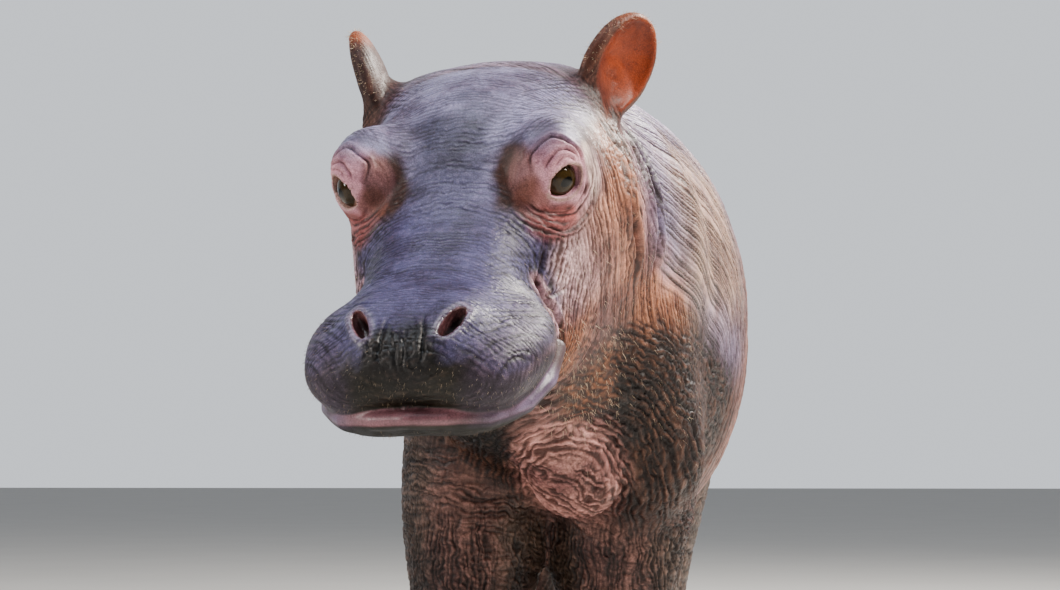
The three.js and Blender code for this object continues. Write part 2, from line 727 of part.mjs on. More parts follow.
function ear(name, side) {
  const axes = earAxes(name);
  const earPlace = local => fromHead(mirrored(
    EAR_AT[name].map((value, i) => value + axes.reduce((sum, axis, k) => sum + axis[i] * local[k], 0)), side));
  const turned = axes.map(axis => turnedFromHead(mirrored(axis, side)));
  turned[1] = turned[1].map(value => -value * side);
  const shell = round(earPlace(EAR_SHELL.at), turned, EAR_SHELL.radii, FACETS.ear);
  const hollow = round(earPlace(EAR_HOLLOW.at), turned, EAR_HOLLOW.radii, FACETS.ear);
  const from = earPlace(EAR_STALK.from);
  const to = earPlace(EAR_STALK.to);
  const length = Math.hypot(...minus(to, from));
  const y = unit(minus(to, from));
  const x = square(turned[2], y);
  const [wide, narrow] = EAR_STALK.radii;
  const taper = new THREE.CylinderGeometry(narrow, wide, length, FACETS.earStalk);
  return shell.add(placed(taper, along(from, y, length / 2), x, y, cross(x, y))).subtract(hollow);
}

// ---------------------------------------------------------------- assembly

const headSolid = head();
const neckSolid = neck();
const trunkSolid = trunk();
add('trunk', trunkSolid, MATERIALS.body);
add('neck', neckSolid, MATERIALS.body);
add('head', headSolid, MATERIALS.head);
add('tail', tail().subtract(swollen(trunkSolid, 2 * GAP)), MATERIALS.body);
const skull = swollen(headSolid, 2 * GAP).add(swollen(neckSolid, 3 * GAP));
for (const [name, side] of [['left', 1], ['right', -1]]) {
  add(`ear_${name}`, ear(name, side).subtract(skull), MATERIALS.ear);
  add(`eye_${name}`, eyeball(side, 0), MATERIALS.eye);
}
for (const shape of LEGS) {
  add(`leg_${shape.name}`, leg(shape), MATERIALS.leg);
  shape.toes.forEach((toe, i) => add(`nail_${shape.name}_${i + 1}`, nail(toe, 0), MATERIALS.nail));
}

// The origin is on the ground, under the middle of the whole animal.
const bounds = new THREE.Box3().setFromObject(animal);
const middle = bounds.getCenter(new THREE.Vector3());
animal.position.set(-middle.x, -middle.y, -bounds.min.z);

export default animal;
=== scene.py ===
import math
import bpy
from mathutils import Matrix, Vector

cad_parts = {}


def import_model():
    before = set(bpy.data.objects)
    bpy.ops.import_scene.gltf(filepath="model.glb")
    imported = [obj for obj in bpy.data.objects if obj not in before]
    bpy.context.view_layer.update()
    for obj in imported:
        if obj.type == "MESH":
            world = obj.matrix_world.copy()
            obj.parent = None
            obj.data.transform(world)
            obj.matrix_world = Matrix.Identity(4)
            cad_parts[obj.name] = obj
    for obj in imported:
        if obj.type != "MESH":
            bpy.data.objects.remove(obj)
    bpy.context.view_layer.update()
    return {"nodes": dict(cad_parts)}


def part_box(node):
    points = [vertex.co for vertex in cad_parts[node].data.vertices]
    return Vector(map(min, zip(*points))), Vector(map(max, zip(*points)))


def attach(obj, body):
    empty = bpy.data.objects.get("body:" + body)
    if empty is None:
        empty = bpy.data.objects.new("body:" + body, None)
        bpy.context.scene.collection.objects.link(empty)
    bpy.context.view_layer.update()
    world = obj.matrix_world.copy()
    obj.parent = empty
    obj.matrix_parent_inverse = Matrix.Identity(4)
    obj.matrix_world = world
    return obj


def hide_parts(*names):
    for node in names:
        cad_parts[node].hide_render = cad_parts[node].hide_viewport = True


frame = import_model()

# A young hippopotamus as a still, life-size model, standing with its head lowered and turned to
# its right. Its hide is one skin over the CAD pieces of flesh. The skin is the surface of the same
# volume as theirs, lofts blended with round cones and ellipsoids, meshed finely and then folded
# and wrinkled along the lie of the hide. The eyes and nails are pieces of their own.
from concurrent.futures import ThreadPoolExecutor

import bpy
import numpy as np
from mathutils import Matrix, Vector

MM = 0.001
THREADS = 4

# ---- sizes of the volume, millimetres

CELL = 4.8                        # of the first surface, whose edges are split in two or in four
EYES_AT = np.array((-57, -562, 514))  # in the middle of the head, between the eyes
HEAD_TURN, HEAD_DROP, HEAD_TILT = 9.6, 28, 1
EYE_AT = np.array((11, 81, 8.5))  # head places are: forward, to the side, up
EYE_RADIUS = 20
LID = 2
LID_ARC = 19.7                    # the eye's opening is where two circles of this radius meet
LID_SPREAD = 6.7                  # half the distance between their centres
LID_TURN = 14                     # how much the opening's front corner is turned down
LID_EDGE = 1.4                    # how round the lids' edges are
LID_DEPTH = 2                     # the opening starts this far in front of the eye's middle
EYE_SLANT = 0.22

EAR_AT = {1: (-120, 86, 10), -1: (-118, 92, 4)}
EAR_LEAN = 30
EAR_OUT = {1: 34, -1: 22}
EAR_TURN = {1: 56, -1: 84}
EAR_HOLLOW, HOLLOW_RADII = (60, 0, 15), (43, 31.5, 20)

TRUNK_POWER = 2.15
TRUNK = [  # place along Y, half width, top, bottom
    (-400, 60, 540, 380), (-310, 118, 620, 275), (-230, 150, 652, 226), (-120, 176, 668, 204),
    (40, 194, 676, 188), (190, 188, 672, 192), (290, 164, 652, 222), (350, 125, 620, 280),
    (400, 60, 560, 380)]
HEAD_POWER = 2.5
HEAD = [  # place forward, half width, top, bottom, in the head's own axes
    (-190, 90, 37, -170), (-150, 96, 55, -174), (-110, 97, 54, -172), (-60, 93, 40, -166),
    (-10, 84, 24, -158), (40, 78, 6, -150), (90, 70, -12, -144), (130, 66, -24, -136),
    (180, 62, -34, -124), (205, 50, -47, -112)]
FRONT_LEG = [  # height, centre x, centre y, half width, half depth
    (-20, 74, -292, 52, 58), (24, 74, -290, 55, 60), (55, 74, -284, 50, 51), (90, 73, -277, 47, 47),
    (125, 72, -271, 50, 52), (170, 71, -265, 58, 64), (230, 72, -259, 66, 78),
    (300, 78, -252, 62, 90), (370, 78, -240, 52, 84), (420, 66, -235, 30, 50)]
HIND_LEG = [
    (-20, 80, 312, 52, 58), (24, 80, 314, 55, 60), (55, 80, 322, 50, 50), (90, 80, 330, 47, 48),
    (125, 80, 330, 48, 54), (170, 82, 314, 54, 68), (225, 86, 294, 62, 90),
    (300, 92, 284, 68, 108), (380, 86, 286, 60, 110), (440, 66, 290, 36, 70)]
LEGS = [  # name, sections, side, step forward or back, sway in or out, toe radius
    ("front_left", FRONT_LEG, 1, 25, -10, 19), ("front_right", FRONT_LEG, -1, -30, 2, 19),
    ("hind_left", HIND_LEG, 1, -26, -4, 18), ("hind_right", HIND_LEG, -1, 36, -8, 18)]
STEP_TOP, SWAY_TOP, SWAY_FADE = 360, 300, 100  # heights from which a leg's step and sway begin
TOE_COUNT, TOE_SPREAD, TOE_HEIGHT, TOE_INSET, TOE_FLATNESS, TOE_BLEND = 4, 36, 16, (6, 8), 0.95, 10
MOUTH = [  # the line where the lips meet, on one side, from the middle to the corner
    (226, 0, -92), (221, 28, -95), (206, 56, -101), (176, 78, -105), (142, 89, -102),
    (114, 92, -88), (98, 88, -66)]
LIP_RIM_DROP, LIP_RIM = (1, 1, -8), 7
NOSTRIL_AT, NOSTRIL_LONG, NOSTRIL_FACE = (194, 36, -37), (28, -16, -12), (0.44, 0.1, 0.9)
NOSTRIL_RADII = (16, 6, 12)       # along it, across it and into it

# ---- volumes
# A volume gives each row of places its distance to the surface, negative inside.


def norm(v):
    return np.linalg.norm(v, axis=-1)


def unit(v):
    v = np.array(v, float)
    return v / np.linalg.norm(v)


def square(v, other):
    """v turned to be square to a unit vector."""
    v = np.array(v, float)
    return unit(v - other * (v @ other))


def joined(a, b, blend):
    h = np.clip(0.5 + 0.5 * (b - a) / blend, 0.0, 1.0)
    return b + (a - b) * h - blend * h * (1.0 - h)


def cut(a, b, blend):
    return -joined(-a, b, blend)


def ramp(x, start, end, least=0.0):
    """The least value up to start, 1 from end, smooth between. Falls if end is less than start."""
    t = np.clip((x - start) / (end - start), 0.0, 1.0)
    return least + (1 - least) * t * t * (3 - 2 * t)


def profile(t, knots, column):
    """A smooth curve through one column of the knots, whose first column is the place."""
    x = np.array([row[0] for row in knots], float)
    y = np.array([row[column] for row in knots], float)
    slope = np.gradient(y, x)
    t = np.clip(t, x[0], x[-1])
    i = np.clip(np.searchsorted(x, t, side="right") - 1, 0, len(x) - 2)
    h = x[i + 1] - x[i]
    s = (t - x[i]) / h
    s2, s3 = s * s, s * s * s
    return ((2 * s3 - 3 * s2 + 1) * y[i] + (s3 - 2 * s2 + s) * h * slope[i]
            + (3 * s2 - 2 * s3) * y[i + 1] + (s3 - s2) * h * slope[i + 1])


def ellipsoid(p, at, radii):
    q = p - np.array(at, float)
    r = np.array(radii, float)
    near = np.sqrt(((q / r) ** 2).sum(-1))
    slope = np.sqrt(((q / (r * r)) ** 2).sum(-1))
    return np.where(slope > 1e-9, near * (near - 1.0) / np.maximum(slope, 1e-9), -r.min())


def cone(p, a, b, first, last):
    """A round cone from a to b."""
    a = np.array(a, float)
    axis = np.array(b, float) - a
    t = np.clip(((p - a) @ axis) / (axis @ axis), 0.0, 1.0)
    return norm(p - a - t[..., None] * axis) - (first + (last - first) * t)


def ended(radial, over):
    return np.where(over > 0, np.hypot(np.maximum(radial, 0), over), radial)


def loft(place, across, up, knots, power):
    """A long body with squarish round sections."""
    half, top, bottom = (profile(place, knots, column) for column in (1, 2, 3))
    rise = up - (top + bottom) / 2
    tall = (top - bottom) / 2
    q = (np.abs(across / half) ** power + np.abs(rise / tall) ** power) ** (1 / power)
    radial = np.hypot(across, rise) * (1 - 1 / np.maximum(q, 1e-6))
    return ended(radial, np.maximum(np.maximum(knots[0][0] - place, place - knots[-1][0]), 0.0))


def head_axes():
    """Rows: forward, left, up."""
    turn, drop, tilt = (math.radians(a) for a in (HEAD_TURN, HEAD_DROP, HEAD_TILT))
    forward = np.array([-math.sin(turn) * math.cos(drop), -math.cos(turn) * math.cos(drop),
                        -math.sin(drop)])
    level = np.array([math.cos(turn), -math.sin(turn), 0.0])
    upright = np.cross(forward, level)
    left = level * math.cos(tilt) + upright * math.sin(tilt)
    return np.array([forward, left, upright * math.cos(tilt) - level * math.sin(tilt)])


AXES = head_axes()
UP = np.array([0.0, 0.0, 1.0])
GAZE = unit((0.67, 0.74, 0.03))
NOSTRIL_OUT = square(NOSTRIL_FACE, unit(NOSTRIL_LONG))
EYE_LONG = square((GAZE[1], -GAZE[0], -EYE_SLANT), GAZE)
EYE_HIGH = np.cross(EYE_LONG, GAZE) * np.sign(np.cross(EYE_LONG, GAZE)[2])


def in_head(p):
    return (p - EYES_AT) @ AXES.T


def from_head(local):
    return EYES_AT + np.array(local, float) @ AXES


def one_side(p):
    """Places in the head's axes, both sides folded onto the left."""
    m = in_head(p)
    m[:, 1] = np.abs(m[:, 1])
    return m


def leg_volume(p, which):
    _, knots, side, step, sway, toe = which
    x, y, z = p[:, 0] * side, p[:, 1], p[:, 2]
    dx = x - profile(z, knots, 1) - sway * np.clip((SWAY_TOP - z) / SWAY_FADE, 0, 1)
    dy = y - profile(z, knots, 2) - step * np.clip((STEP_TOP - z) / STEP_TOP, 0, 1)
    q = np.sqrt((dx / profile(z, knots, 3)) ** 2 + (dy / profile(z, knots, 4)) ** 2)
    radial = np.hypot(dx, dy) * (1 - 1 / np.maximum(q, 1e-6))
    d = ended(radial, np.maximum(z - knots[-1][0], 0.0))
    for i in range(TOE_COUNT):
        at, _ = toe_place(which, i)
        d = joined(d, ellipsoid(p, at, (toe, toe, toe * TOE_FLATNESS)), TOE_BLEND)
    return d


def toe_place(which, i):
    """Where toe number i of a leg is, and the way it points."""
    _, knots, side, step, sway, toe = which
    sole = knots[1]
    angle = math.radians((i - (TOE_COUNT - 1) / 2) * TOE_SPREAD)
    out = np.array([side * math.sin(angle), -math.cos(angle), 0.0])
    x = side * (sole[1] + sway) + (sole[3] - TOE_INSET[0]) * out[0]
    y = sole[2] + step + (sole[4] - TOE_INSET[1]) * out[1]
    return np.array([x, y, TOE_HEIGHT]), out


def lid_slit(m):
    """The opening between the lids: its outline's distance, and how far in front of the eye."""
    e = m - EYE_AT
    turn = math.radians(LID_TURN)
    a = e @ (EYE_LONG * math.cos(turn) - EYE_HIGH * math.sin(turn))
    b = e @ (EYE_LONG * math.sin(turn) + EYE_HIGH * math.cos(turn))
    slit = np.maximum(np.hypot(a, b + LID_SPREAD), np.hypot(a, b - LID_SPREAD)) - LID_ARC
    return slit, e @ GAZE


def by_the_lips(m):
    """How far each place is from the lower lip's rim, and how far above it."""
    rim = np.array(MOUTH, float) + LIP_RIM_DROP
    far, along = nearest(m, rim[:-1])
    return far, m[:, 2] - np.interp(along * (len(rim) - 2), np.arange(len(rim) - 1), rim[:-1, 2])


def nostril_pit(m):
    long = unit(NOSTRIL_LONG)
    axes = np.array([long, np.cross(NOSTRIL_OUT, long), NOSTRIL_OUT])
    return ellipsoid((m - NOSTRIL_AT) @ axes.T, (0, 0, 0), NOSTRIL_RADII)


def swollen(d, m, swellings):
    """A volume with ellipsoids joined to it: the middle of each, its radii, and how softly."""
    for at, radii, blend in swellings:
        d = joined(d, ellipsoid(m, at, radii), blend)
    return d


def head_volume(p):
    m = one_side(p)
    d = loft(*m.T, HEAD, HEAD_POWER)
    d = swollen(d, m, [((0, 60, -112), (96, 36, 50), 30),       # jowl
                       ((-20, 70, -50), (70, 24, 48), 26)])     # cheek bone
    lip = ellipsoid(m, (146, 44, -80), (72, 55, 38))
    lip = swollen(lip, m, [((166, 0, -68), (64, 62, 42), 26), ((182, 48, -81), (37, 36, 26), 16)])
    d = joined(d, lip, 14)
    d = joined(d, cone(m, (178, 34, -48), (202, 23, -64), 19, 16), 16)  # nostril rim
    d = joined(d, chin_volume(m), 5)
    d = swollen(d, m, [((-130, 56, 28), (46, 36, 24), 16),      # crown
                       ((-4, 78, 12), (38, 31, 39), 7)])        # brow
    d = joined(d, norm(m - EYE_AT) - EYE_RADIUS - LID, 5)
    slit, front = lid_slit(m)
    d = cut(d, np.maximum(slit, LID_DEPTH - front), LID_EDGE)
    return cut(d, nostril_pit(m), 2.5)


def chin_volume(m):
    chin = ellipsoid(m, (136, 0, -108), (88, 78, 27))
    chin = swollen(chin, m, [((160, 42, -110), (54, 40, 21), 16)])
    rim = [np.add(place, LIP_RIM_DROP) for place in MOUTH[:-1]]
    edge = np.min([cone(m, a, b, LIP_RIM, LIP_RIM) for a, b in zip(rim, rim[1:])], axis=0)
    return joined(chin, edge, 8)


def ear_axes(side):
    """Along the ear, across it, and out of its hollow."""
    lean, out, turn = (math.radians(a) for a in (EAR_LEAN, EAR_OUT[side], EAR_TURN[side]))
    long = unit((-math.sin(lean), math.cos(lean) * math.sin(out), math.cos(lean) * math.cos(out)))
    face = square((math.cos(turn), math.sin(turn), 0), long)
    return np.array([long, np.cross(long, face), face])


def in_ear(p, side):
    q = in_head(p)
    q[:, 1] *= side
    return (q - EAR_AT[side]) @ ear_axes(side).T


def ear_volume(p, side):
    r = in_ear(p, side)
    shell = ellipsoid(r, (53, 0, 0), (51, 39, 15))
    stalk = cone(r, (-14, -4, -6), (30, 0, -4), 34, 24)
    hollow = np.minimum(ellipsoid(r, EAR_HOLLOW, HOLLOW_RADII),
                        cone(r, (44, 0, 19), (-2, 2, 22), 24, 9))
    return joined(cut(shell, hollow, 3), cut(stalk, hollow, 5), 8)


def neck_volume(p):
    d = cone(p, (-8, -320, 485), (-34, -480, 505), 148, 118)
    d = joined(d, cone(p, (-6, -320, 375), (-30, -455, 400), 108, 92), 50)
    d = joined(d, cone(p, (50, -348, 376), (80, -312, 300), 78, 64), 40)
    return joined(d, cone(p, (-14, -440, 350), (30, -368, 279), 40, 42), 7)


def trunk_volume(p):
    return joined(loft(p[:, 1], p[:, 0], p[:, 2], TRUNK, TRUNK_POWER),
                  ellipsoid(p, (0, 300, 440), (160, 152, 200)), 50)


def tail_volume(p):
    d = cone(p, (0, 425, 540), (0, 466, 470), 26, 17)
    return joined(d, cone(p, (0, 466, 470), (0, 474, 390), 17, 9), 8)


def leg_part(which):
    name, knots, side, *_ = which
    y = (-380, -130) if name.startswith("front") else (140, 440)
    x = sorted((10 * side, 180 * side))
    return ("leg", lambda p: leg_volume(p, which), (x[0], y[0], -30), (x[1], y[1], 430), 28, 40)


# Each part: its kind, its volume, the box that it can be in, how softly it runs into the rest,
# and how far from the box it still counts.
PARTS = [
    ("neck", neck_volume, (-200, -620, 220), (160, -180, 660), 60, 70),
    *[leg_part(which) for which in LEGS],
    ("head", head_volume, (-200, -830, 280), (100, -380, 680), 34, 50),
    *[("ear", lambda p, side=side: ear_volume(p, side), (-210, -540, 490), (110, -360, 720), 10, 20)
      for side in (1, -1)],
    ("tail", tail_volume, (-40, 380, 360), (40, 520, 600), 14, 30),
]
FAR = 500.0
SOLE_EDGE = 3.0                   # how round the edge of a sole is


def near_box(p, low, high, margin):
    return ((p > np.array(low) - margin) & (p < np.array(high) + margin)).all(-1)


def body_volume(p):
    d = trunk_volume(p)
    for _, part, low, high, blend, margin in PARTS:
        near = near_box(p, low, high, margin)
        if near.any():
            d[near] = joined(d[near], part(p[near]), blend)
    return cut(d, p[:, 2], SOLE_EDGE)


def shared(function, rows):
    """The function of the rows, worked out in several threads."""
    parts = [rows[i:i + CHUNK] for i in range(0, len(rows), CHUNK)]
    with ThreadPoolExecutor(THREADS) as pool:
        return np.concatenate(list(pool.map(function, parts)))


# ---- the surface of a volume

AXIS_PAIRS = ((0, 1, 2), (1, 2, 0), (2, 0, 1))
CORNERS = [(i, j, k) for i in (0, 1) for j in (0, 1) for k in (0, 1)]
COARSE = 4                        # cells to a block's side, in the grid that finds the surface
CHUNK = 16384                     # rows worked out at a time in each thread
STEP, LEAST_SLOPE = 0.4, 0.05     # for the slope of a volume


def levels(volume, low, cell, count):
    """The volume's level on a grid, worked out only close to the surface."""
    rough = (count - 1) // COARSE + 1
    grid = np.stack(np.meshgrid(*[low[k] + cell * COARSE * np.arange(rough[k]) for k in range(3)],
                                indexing="ij"), -1)
    level = shared(volume, grid.reshape(-1, 3)).reshape(rough)
    near = np.abs(level) < cell * COARSE * 3
    blocks = np.zeros(rough - 1, bool)
    for i, j, k in CORNERS:
        blocks |= near[i:rough[0] - 1 + i, j:rough[1] - 1 + j, k:rough[2] - 1 + k]
    spread = lambda a: a.repeat(COARSE, 0).repeat(COARSE, 1).repeat(COARSE, 2)
    fine = spread(np.where(level < 0, -FAR, FAR))[:count[0], :count[1], :count[2]]
    wanted = np.zeros(count, bool)
    wanted[:-1, :-1, :-1] = spread(blocks)
    for axis in range(3):
        wanted |= np.roll(wanted, 1, axis)
    fine[wanted] = shared(volume, low + cell * np.argwhere(wanted))
    return fine


def surface(volume, low, high, cell):
    """Points and quads of the closed surface, with one point in each cell that it crosses."""
    low = np.array(low, float)
    count = np.ceil((np.array(high) - low) / cell / COARSE).astype(int) * COARSE + 1
    level = levels(volume, low, cell, count)
    inside = level < 0
    filled = sum(inside[i:count[0] - 1 + i, j:count[1] - 1 + j, k:count[2] - 1 + k].astype(np.uint8)
                 for i, j, k in CORNERS)
    crossed = (filled > 0) & (filled < 8)
    cells = np.argwhere(crossed)
    number = np.full(count - 1, -1)
    number[crossed] = np.arange(len(cells))
    total, hits = np.zeros((len(cells), 3)), np.zeros(len(cells))
    for axis, u, v in AXIS_PAIRS:
        for du, dv in ((0, 0), (0, 1), (1, 0), (1, 1)):
            start = cells.copy()
            start[:, u] += du
            start[:, v] += dv
            end = start.copy()
            end[:, axis] += 1
            a, b = level[tuple(start.T)], level[tuple(end.T)]
            changes = (a < 0) != (b < 0)
            at = start.astype(float)
            at[:, axis] += np.where(changes, a / np.where(changes, a - b, 1), 0)
            total[changes] += at[changes]
            hits[changes] += 1
    points = low + cell * total / hits[:, None]
    quads = []
    for axis, u, v in AXIS_PAIRS:
        first = inside.take(range(count[axis] - 1), axis)
        edges = np.argwhere(first != inside.take(range(1, count[axis]), axis))
        ring = []
        for du, dv in ((-1, -1), (0, -1), (0, 0), (-1, 0)):
            cell_of = edges.copy()
            cell_of[:, u] += du
            cell_of[:, v] += dv
            ring.append(number[tuple(cell_of.T)])
        ring = np.stack(ring, -1)
        outward = first[tuple(edges.T)]
        ring[~outward] = ring[~outward][:, ::-1]
        quads.append(ring)
    return points, np.concatenate(quads)


def settled(volume, points, rounds, most=4.0):
    """The points moved onto the surface, and the surface's normals there."""
    def move(p):
        d = volume(p)
        slope = np.stack([(volume(p + STEP * axis) - d) / STEP for axis in np.eye(3)], -1)
        size = np.maximum((slope * slope).sum(-1), LEAST_SLOPE)
        moved = p - np.clip(d / size, -most, most)[:, None] * slope
        return np.concatenate([moved, slope / np.sqrt(size)[:, None]], -1)
    for _ in range(rounds):
        both = shared(move, points)
        points = both[:, :3]
    return points, both[:, 3:]


def split(points, normals, quads, chosen):
    """Splits the chosen quads in four. Gives the points, normals, quads, and the quads beside
    the chosen ones, which become polygons of up to 8 corners, with -1 for the ones not used."""
    low = np.minimum(quads, np.roll(quads, -1, 1))
    high = np.maximum(quads, np.roll(quads, -1, 1))
    key = low * len(points) + high
    used = np.unique(key[chosen])
    place = np.minimum(np.searchsorted(used, key), len(used) - 1)
    middle = np.where(used[place] == key, len(points) + place, -1)
    centre = len(points) + len(used) + np.arange(chosen.sum())
    ends = np.stack([used // len(points), used % len(points)], -1)
    new_points, new_normals = zip(*[rounded(points[group], normals[group])
                                    for group in (ends, quads[chosen])])
    corner, beside = quads[chosen], middle[chosen]
    fine = [np.stack([corner[:, i], beside[:, i], centre, beside[:, i - 1]], -1) for i in range(4)]
    edge = ~chosen & (middle >= 0).any(1)
    polygons = np.stack([quads[edge], middle[edge]], -1).reshape(-1, 8)
    return (np.concatenate([points, *new_points]), np.concatenate([normals, *new_normals]),
            np.concatenate([quads[~chosen & ~edge], *fine]), polygons)


def rounded(points, normals):
    """The middle of each group of points, on the curved surface that their normals tell of."""
    middle = points.mean(1)
    over = ((middle[:, None] - points) * normals).sum(-1, keepdims=True)
    normal = normals.mean(1)
    normal /= np.linalg.norm(normal, axis=-1, keepdims=True)
    return middle - 0.5 * (over * normals).mean(1), normal


# ---- patterns

def pattern(places, kind, output, **settings):
    """A texture node's value at each row of places, worked out by Blender."""
    mesh = bpy.data.meshes.new("pattern")
    mesh.vertices.add(len(places))
    mesh.vertices.foreach_set("co", np.asarray(places, np.float32).ravel())
    tree = bpy.data.node_groups.new("pattern", "GeometryNodeTree")
    for way in ("INPUT", "OUTPUT"):
        tree.interface.new_socket("Geometry", in_out=way, socket_type="NodeSocketGeometry")
    start, end, position, store, texture = (tree.nodes.new(name) for name in (
        "NodeGroupInput", "NodeGroupOutput", "GeometryNodeInputPosition",
        "GeometryNodeStoreNamedAttribute", kind))
    for name, value in settings.items():
        if hasattr(texture, name):
            setattr(texture, name, value)
        else:
            texture.inputs[name.title()].default_value = value
    texture.inputs["Scale"].default_value = 1.0
    vector = output == "Color"
    store.data_type = "FLOAT_VECTOR" if vector else "FLOAT"
    store.inputs["Name"].default_value = "value"
    for outlet, inlet in ((position.outputs[0], texture.inputs["Vector"]),
                          (texture.outputs[output], store.inputs["Value"]),
                          (start.outputs[0], store.inputs["Geometry"]),
                          (store.outputs[0], end.inputs[0])):
        tree.links.new(outlet, inlet)
    holder = placed("pattern", mesh)
    holder.modifiers.new("pattern", "NODES").node_group = tree
    made = holder.evaluated_get(bpy.context.evaluated_depsgraph_get()).data.attributes["value"]
    values = np.zeros(len(places) * (3 if vector else 1), np.float32)
    made.data.foreach_get("vector" if vector else "value", values)
    bpy.data.objects.remove(holder)
    bpy.data.meshes.remove(mesh)
    bpy.data.node_groups.remove(tree)
    return values.reshape(-1, 3) if vector else values


def noise(places, size, detail=2.0):
    """About -1 to 1, with features of about the given size."""
    value = pattern(places / size, "ShaderNodeTexNoise", "Fac", detail=detail)
    return np.clip((value - 0.5) * 3, -1.5, 1.5)


def wander(places, size, reach):
    """Three values for each place, up to about the reach."""
    value = pattern(places / size, "ShaderNodeTexNoise", "Color", detail=2.0)
    return (value - 0.5) * (3 * reach)


def plates(places, sharp):
    """Cells a unit across: 0 in the grooves between them, 1 on their tops."""
    edge = pattern(places, "ShaderNodeTexVoronoi", "Distance", feature="DISTANCE_TO_EDGE")
    return np.clip(edge / sharp, 0, 1)


def lines(places, sharp):
    """Long grooves side by side, about a unit apart, that wander, close up and fade: 0 in them,
    1 between them."""
    t = places[:, 0] + 0.5 * noise(places, 1.7) + 0.25 * noise(places, 0.6)
    top = np.clip(np.abs(t - np.round(t)) / sharp, 0, 1)
    strength = ramp(noise(places + 37, 2.2), -0.7, 0.2)
    return 1 - (1 - top) * strength


def folds(places, sharp):
    """Puffy folds about a unit apart that run into each other: 0 in the clefts between them, 1 on
    their tops."""
    return np.clip(np.abs(noise(places, 1.6, 1.0)) / sharp, 0, 1)


LEAST_WEIGHT = 0.01               # of a pattern, where it still counts
RIDGE_RISE = 0.4                  # how far ridges rise over the surface, of the grooves' depth
CREASE_END, CREASE_LIP = 0.2, 0.5  # the part of a crease that fades, and how high its lips are
LINE_STEPS = 6                    # between two of a line's points


class Skin:
    """The skin's points, with what has been added to each so far."""

    def __init__(self, points, normals):
        self.points, self.normals = points, normals
        self.local = in_head(points)
        self.side = np.sign(self.local[:, 1])
        self.folded = self.local * np.array([1, 0, 1]) + np.abs(self.local) * np.array([0, 1, 0])
        self.share = part_shares(points)
        u, v, w = self.folded.T
        self.face = ramp(u, -118, -96) * ramp(w, -60, -20) * ramp(v, 106, 96)
        self.head = np.maximum(self.share["head"], self.face * (1 - self.share["ear"]))
        self.rise, self.height, self.relief, self.creased = np.zeros((4, len(points)))

    def wrinkles(self, weight, places, *rows):
        """Grooves laid over each other. The places are coordinates across the grooves, along them
        and at right angles. Each row says of one set its kind, its spacing in millimetres across,
        along and, if that differs, the third way, and how deep, how wide and how dark it is."""
        use = weight > LEAST_WEIGHT
        if not use.any():
            return
        places = np.stack(places, -1)[use]
        for kind, spacing, depth, wide, shade in rows:
            top = kind(places / np.array(spacing)[[0, 1, -1]], wide)
            deep = weight[use] * depth
            self.rise[use] += deep * (RIDGE_RISE - (1 - top) ** 2)
            # Each row's shade sets how much painted shade its grooves get in the hide's colour.
            self.height[use] += deep * shade * top
            self.relief[use] += deep * shade

    def crease(self, line, depth, width, shade=0.8):
        """A fold along a line of places on the surface."""
        near = near_box(self.points, line.min(0), line.max(0), 5 * width)
        if not near.any():
            return
        at, t = nearest(self.points[near] + wander(self.points[near], 13, 1.1), line)
        fade = ramp(t, 0, CREASE_END) * ramp(t, 1, 1 - CREASE_END)
        inner = np.exp(-(at / width) ** 2)
        outer = np.exp(-((at - 2.4 * width) / (1.5 * width)) ** 2)
        self.rise[near] += fade * depth * (CREASE_LIP * outer - inner)
        # Painted shade along the fold's bottom, for the hide's colour.
        self.creased[near] += fade * shade * np.exp(-(at / (0.7 * width)) ** 2)

    def on_ears(self, value):
        """On each ear the value for places in that ear's axes, and 0 elsewhere."""
        return sum(value(in_ear(self.points, side), side) * (self.side == side) for side in (1, -1))

    def shades(self):
        """How deep in a groove each point is, and how far up on a ridge, both from 0 to 1: how much
        painted shade and painted highlight the hide's colour gets there.
        """
        level = self.height / np.maximum(self.relief, 1e-6)
        strength = ramp(self.relief, 0, 1.2)
        groove = np.maximum(strength * ramp(level, 0.88, 0.36), self.creased)
        return np.clip(groove, 0, 1), strength * ramp(level, 0.75, 1.0)


def nearest(points, line):
    """Each point's distance to a line of places, and how far along the line that is, 0 to 1."""
    best, where = np.full(len(points), np.inf), np.zeros(len(points))
    steps = len(line) - 1
    for i, (a, b) in enumerate(zip(line, line[1:])):
        axis = b - a
        t = np.clip(((points - a) @ axis) / (axis @ axis), 0, 1)
        d = norm(points - a - t[:, None] * axis)
        closer = d < best
        best[closer] = d[closer]
        where[closer] = (i + t[closer]) / steps
    return best, where


def smooth_line(points):
    """A smooth line through a few points."""
    p = np.array(points, float)
    p = np.vstack([2 * p[0] - p[1], p, 2 * p[-1] - p[-2]])
    t = np.linspace(0, 1, LINE_STEPS, endpoint=False)[:, None]
    parts = [0.5 * (2 * b + (c - a) * t + (2 * a - 5 * b + 4 * c - d) * t ** 2
                    + (3 * b - a - 3 * c + d) * t ** 3)
             for a, b, c, d in zip(p, p[1:], p[2:], p[3:])]
    return np.vstack([*parts, p[-2:-1]])


# ---- skin: shape

FACE_BOX = ((-150, -130, -130), (250, 130, 75))      # in the head's axes
CHEST_BOX = ((-170, -600, 110), (240, -70, 700))     # in the body's own


def skin_surface():
    points, quads = surface(body_volume, (-230, -850, -20), (240, 530, 750), CELL)
    points, normals = settled(body_volume, points, 2)
    points, normals, quads, _ = split(points, normals, quads, np.ones(len(quads), bool))
    middle, facing = points[quads].mean(1), normals[quads].mean(1)
    shown = near_box(middle, *CHEST_BOX, 0) & (facing @ unit((0.1, -1, 0)) > 0)
    fine = near_box(in_head(middle), *FACE_BOX, 0) | shown
    points, normals, quads, polygons = split(points, normals, quads, fine)
    close = near_box(in_head(points), *FACE_BOX, 4)
    points[close], normals[close] = settled(body_volume, points[close], 1)
    return points, normals, quads, polygons


SHARE_FADE = 9.0                  # how wide one part's skin passes into the next one's


